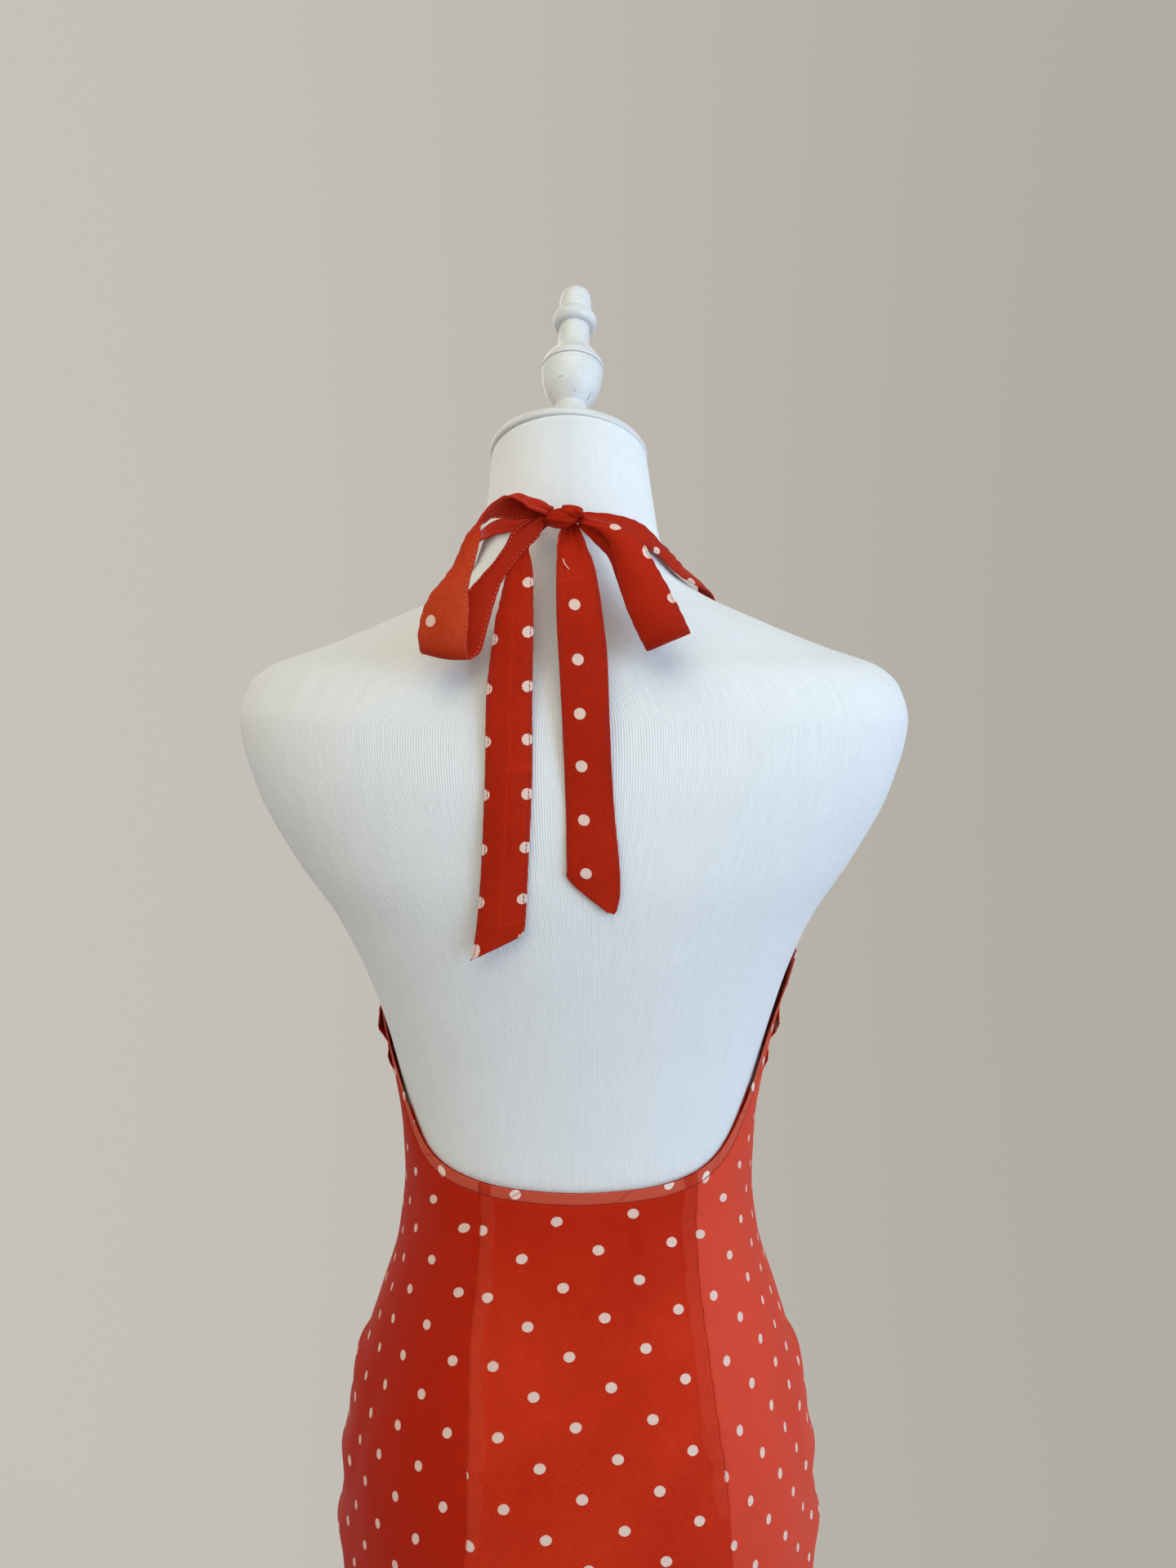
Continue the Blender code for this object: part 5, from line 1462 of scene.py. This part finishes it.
# Small dark nicks in the finial's paint: one end, the other end, half width
FINIAL_MARKS = (
    ((-0.0100, -0.0124, 1.5654), (-0.0076, -0.0122, 1.5613), 0.00045),
    ((0.0088, -0.0079, 1.5744), (0.0069, -0.0071, 1.5746), 0.00035),
    ((-0.0007, -0.0069, 1.5661), (-0.0002, -0.0071, 1.5655), 0.00035),
    ((-0.0042, -0.0391, 1.6291), (-0.0047, -0.0391, 1.6288), 0.00035),
    ((-0.0082, -0.0407, 1.6256), (-0.0082, -0.0406, 1.6253), 0.00030),
    ((0.0013, -0.0090, 1.5869), (0.0009, -0.0090, 1.5867), 0.00025),
)
# How the neck differs from the figure: height, shift to the wearer's left, extra half width
NECK_TRIM = (
    (1.440, 0.0000, 0.0000),
    (1.465, 0.0012, 0.0016),
    (1.487, 0.0018, 0.0022),
    (1.507, 0.0022, 0.0006),
    (1.5235, 0.0028, -0.0008),
)
FORM_AROUND = 240
FORM_GROOVE = 0.0005
GROOVE_TOP = 1.405
# The torso's rounded foot: height above its bottom, share of the full section
FORM_FOOT = ((0.0, 0.900), (0.0012, 0.930), (0.004, 0.960), (0.008, 0.988))
# The jersey turned in at the neck: share of the full section, distance down
NECK_TURN = ((1.000, 0.0016), (0.997, 0.0009), (0.988, 0.0004), (0.970, 0.0001))


def turned_piece(node, name, profile, finish, around, base, axis=(0.0, 0.0, 1.0), wear=0.0):
    """A turned part from its profile, standing at its base, in the place of the solid named."""
    axis = np.array(axis)
    across = unit(np.cross((0.0, 1.0, 0.0), axis))
    away = np.cross(axis, across)
    profile = np.asarray(profile, float)
    turn = np.linspace(0.0, 2.0 * math.pi, around, endpoint=False)
    spokes = across * np.cos(turn)[:, None] + away * np.sin(turn)[:, None]
    up = profile[:, :1]
    radius = profile[:, 1:] + wear * np.sin(3.0 * turn + 40.0 * up)
    points = np.array(base) + axis * up[..., None] + spokes * radius[..., None]
    rows = len(profile)
    faces = grid_faces(rows, around, closed=True).tolist() + ring_caps(rows, around)
    length = np.concatenate(([0.0], np.cumsum(np.linalg.norm(np.diff(profile, axis=0), axis=1))))
    values = corner_values(np.arange(around + 1) / around, length)
    ends = np.repeat(((0.5, 0.0), (0.5, length[-1])), around, axis=0)
    piece = mesh_object(name, points, faces, {"turned": np.concatenate((values, ends))}, finish)
    piece.data.set_sharp_from_angle(angle=math.radians(38.0))
    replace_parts(piece, node)


def corner_values(across, up):
    """A pair for each corner of a closed grid's faces, from the numbers round it and up it."""
    around, rows = len(across) - 1, len(up)
    column = np.tile(np.arange(around), rows - 1)
    row = np.repeat(np.arange(rows - 1), around)
    u = np.stack((across[column], across[column + 1], across[column + 1], across[column]), axis=-1)
    v = np.stack((up[row], up[row], up[row + 1], up[row + 1]), axis=-1)
    return np.stack((u, v), axis=-1).reshape(-1, 2)


def build_form(finish):
    """The torso under its jersey cover, with a fine seam down each side."""
    shoulders, neck = 1.36, 1.46
    lower = np.linspace(TORSO_BOTTOM + 0.012, shoulders, 130)[:-1]
    upper = np.linspace(shoulders, neck, 60)[:-1]
    rings = np.concatenate((lower, upper, np.linspace(neck, NECK_TOP, 40)))
    level = rings[:, None]
    angle = (np.arange(FORM_AROUND) * 360.0 / FORM_AROUND)[None, :]
    body = figure_points(angle, level)
    widen = between(NECK_TRIM, level, 2) / between(FIGURE, level, 1)
    body[..., 0] = body[..., 0] * (1.0 + widen) + between(NECK_TRIM, level, 1)
    groove = FORM_GROOVE * bell(from_side_seam(angle), 0.8) * (level < GROOVE_TOP)
    normal = outward(angle, np.clip(level, 0.0, NECK_TOP - 0.003), 1.0)
    body = body - normal * groove[..., None]
    foot = [body[0] * (part, part, 0.0) + (0.0, 0.0, TORSO_BOTTOM + lift) for lift, part in FORM_FOOT]
    # The jersey turns in at the neck, under the plate
    top = body[-1]
    centre = top.mean(axis=0)
    down = unit(body[-1] - body[-2])
    turned_in = [centre + (top - centre) * part - down * drop for part, drop in NECK_TURN]
    points = np.concatenate((np.stack(foot), body[:-2], np.stack(turned_in)))
    rows = len(points)
    faces = grid_faces(rows, FORM_AROUND, closed=True).tolist() + ring_caps(rows, FORM_AROUND)
    # Wales run up the body, so their number is the same all the way up
    ring = figure_points(angle, np.array([[1.20]]))
    girth = np.linalg.norm(np.roll(ring, -1, axis=1) - ring, axis=-1)[0]
    wales = np.concatenate(([0.0], np.cumsum(girth)))
    values = corner_values(wales, lengths(points[:, 60], 0))
    uvs = {"knit": np.concatenate((values, np.zeros((2 * FORM_AROUND, 2))))}
    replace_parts(mesh_object("form_torso", points, faces, uvs, finish), "torso")


def build_wood(finish):
    """The neck's plate and the turned finial on it, which lean a little to the wearer's right."""
    plate_base = np.array((WOOD_SHIFT, 0.0, NECK_TOP)) + CAP_AXIS * SEAM_GAP
    foot = plate_base + CAP_AXIS * (PLATE_THICKNESS + SEAM_GAP)
    turned_piece("neck_cap", "neck_plate", PLATE_PROFILE, finish, 192, plate_base, CAP_AXIS)
    share = np.linspace(0.0, 1.0, FINIAL_STEPS * (len(FINIAL_PROFILE) - 1) + 1)
    profile = curve_through(FINIAL_PROFILE, share)
    turned_piece("finial", "finial_turned", profile, finish, 128, foot, CAP_AXIS, WOOD_WEAR)


def build_stand(finish):
    for node, profile, around, foot in (
        ("base", BASE_PROFILE, 192, 0.0),
        ("pole", POLE_PROFILE, 80, POLE_FOOT),
        ("collar", COLLAR_PROFILE, 96, COLLAR_FOOT),
    ):
        turned_piece(node, "stand_" + node, profile, finish, around, (0.0, 0.0, foot))


# Camera, light and floor

WALL_LIGHT = (0.560, 0.535, 0.490, 1.0)
WALL_DARK = (0.440, 0.410, 0.355, 1.0)
ROOM_LEFT = (0.82, 0.83, 0.78, 1.0)
ROOM_RIGHT = (1.05, 1.02, 1.05, 1.0)
ROOM_BEHIND = (0.30, 0.29, 0.29, 1.0)
ROOM_CEILING = (0.22, 0.22, 0.22, 1.0)
ROOM_FLOOR = (0.28, 0.31, 0.36, 1.0)
# Lamps: name, place, height of the point on the axis that it faces, size, power, colour
LAMPS = (
    ("window", (-1.9, 1.4, 1.7), 1.2, (1.4, 1.8), 42.0, (0.43, 0.69, 1.0)),
    ("ceiling", (0.2, 1.0, 2.9), 1.1, (1.8, 1.4), 21.0, (1.0, 0.98, 0.80)),
    ("room", (1.9, 1.0, 1.5), 1.1, (1.2, 1.6), 3.5, (1.0, 0.80, 0.60)),
    ("front_window", (0.4, -2.2, 2.2), 1.0, (1.8, 1.6), 18.0, (0.95, 0.97, 1.0)),
)
FLOOR_RINGS = 24
FLOOR_AROUND = 96
FLOOR_RADII = (0.02, 0.78)
FLOOR_DROP = 0.0002


def add_object(name, data):
    made = bpy.data.objects.new(name, data)
    bpy.context.scene.collection.objects.link(made)
    return made


def add_camera():
    data = bpy.data.cameras.new("photo_camera")
    data.sensor_width = CAMERA_SENSOR
    data.lens = CAMERA_FOCAL_PIXELS / IMAGE_HEIGHT * CAMERA_SENSOR
    camera = add_object("photo_camera", data)
    camera.location = CAMERA_PLACE
    camera.rotation_euler = (math.radians(90.0 - CAMERA_PITCH), 0.0, math.pi)
    bpy.context.scene.camera = camera


def add_lamp(name, place, target_height, size, power_watts, colour):
    data = bpy.data.lights.new(name, "AREA")
    data.shape = "RECTANGLE"
    data.size, data.size_y = size
    data.energy = power_watts
    data.color = colour
    lamp = add_object(name, data)
    lamp.location = place
    aim = Vector((0.0, 0.0, target_height)) - Vector(place)
    lamp.rotation_euler = aim.to_track_quat("-Z", "Y").to_euler()


def add_studio():
    scene = bpy.context.scene
    scene.view_settings.view_transform = "Standard"
    world = bpy.data.worlds.new("studio")
    scene.world = world
    nodes = Nodes(world)
    x, y, z = nodes.split(nodes.add("ShaderNodeTexCoord").outputs["Generated"])
    # The wall that the photograph's camera sees, a little darker to its right
    wall = nodes.mix(nodes.step(x, -0.5, 0.4), WALL_DARK, WALL_LIGHT)
    # The rest of the room: bright sides, a plain ceiling and floor, and a dimmer wall opposite
    room = nodes.mix(nodes.step(x, 0.1, 0.7), ROOM_BEHIND, ROOM_LEFT)
    room = nodes.mix(nodes.step(x, -0.1, -0.7), room, ROOM_RIGHT)
    room = nodes.mix(nodes.step(z, 0.2, 0.7), room, ROOM_CEILING)
    room = nodes.mix(nodes.step(z, -0.2, -0.7), room, ROOM_FLOOR)
    background = nodes.tree.nodes["Background"]
    nodes.put(nodes.mix(nodes.step(y, -0.75, -0.45), wall, room), background.inputs["Color"])
    background.inputs["Strength"].default_value = 1.0
    for lamp in LAMPS:
        add_lamp(*lamp)


def add_floor():
    radius = np.linspace(*FLOOR_RADII, FLOOR_RINGS)[:, None]
    turn = np.linspace(0.0, 2.0 * math.pi, FLOOR_AROUND, endpoint=False)[None, :]
    drop = np.full((FLOOR_RINGS, FLOOR_AROUND), -FLOOR_DROP)
    points = np.stack((radius * np.cos(turn), radius * np.sin(turn), drop), axis=-1)
    faces = grid_faces(FLOOR_RINGS, FLOOR_AROUND, closed=True).tolist() + [tuple(range(FLOOR_AROUND))]
    mesh = bpy.data.meshes.new("floor")
    mesh.from_pydata([tuple(point) for point in points.reshape(-1, 3)], [], faces)
    mesh.materials.append(plain_material("pale_floor", FLOOR_PAINT, 60.0, 4.0, 0.8))
    add_object("floor", mesh)


# Ties: the solid that each stands for, sections, dots on its outer face, cloth, steps along it, which
# way its outer face looks, pleats at each end, where its waves start, how it is held, how much of
# its full width it has
TIES = (
    ("strap_left", STRAP_LEFT, (), "tie", 110, -1.0, (0.1, 0.5), 0.7, "stretched", 0.62),
    ("strap_right", STRAP_RIGHT, STRAP_RIGHT_DOTS, "tie", 110, 1.0, (0.1, 0.5), 2.1, "stretched", 0.66),
    ("bow_loop_left", LOOP_LEFT, LOOP_LEFT_DOTS, "loop", 190, -1.0, (0.6, 0.6), 1.2, "hung", 0.85),
    ("bow_loop_right", LOOP_RIGHT, LOOP_RIGHT_DOTS, "tie", 160, 1.0, (0.6, 0.6), 3.4, "hung", 0.85),
    ("tail_left", TAIL_LEFT, TAIL_LEFT_DOTS, "tie", 180, 1.0, (0.5, 0.0), 4.6, "hung", 0.9),
    ("tail_right", TAIL_RIGHT, TAIL_RIGHT_DOTS, "tie", 170, 1.0, (0.5, 0.0), 5.9, "hung", 1.0),
)


def main():
    add_camera()
    add_studio()
    add_floor()
    cloth = {kind: cloth_material(kind) for kind in CLOTHS}
    thread = thread_material("sewing_thread", THREAD_RED)
    painted_highlight_thread = thread_material("sewing_thread_painted_highlight", THREAD_PAINTED_HIGHLIGHT)
    build_form(jersey_material())
    build_wood(paint_material("painted_wood", WOOD_PAINT, 0.42, 1.0, 0.70, FINIAL_MARKS))
    build_stand(paint_material("painted_metal", METAL_PAINT, 0.38, 0.35, 0.74))
    back, *grid = build_back(cloth["back"])
    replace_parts(back, "back_panel")
    back_sewn = panel_stitches("dress_back_stitches", *grid, 180.0, thread)
    front, *grid = build_front(cloth["front"])
    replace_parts(front, "front_panel")
    front_sewn = panel_stitches("dress_front_stitches", *grid, 0.0, thread)
    facing = build_facing(cloth["plain"])
    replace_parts(facing, "back_facing")
    ties = []
    for node, sections, dots, kind, *shape in TIES:
        # The left loop's stitches get the lighter thread, a painted highlight
        sewing = painted_highlight_thread if kind == "loop" else thread
        ties.append(build_tie(node, sections, dots, cloth[kind], sewing, *shape))
    for tie, row in zip(ties, TIES):
        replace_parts(tie, row[0])
    knot = build_knot(cloth["plain"])
    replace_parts(knot, "knot")
    build_loose_thread(plain_material("loose_white_thread", THREAD_WHITE, 1800.0, 2.0, 0.6))


main()
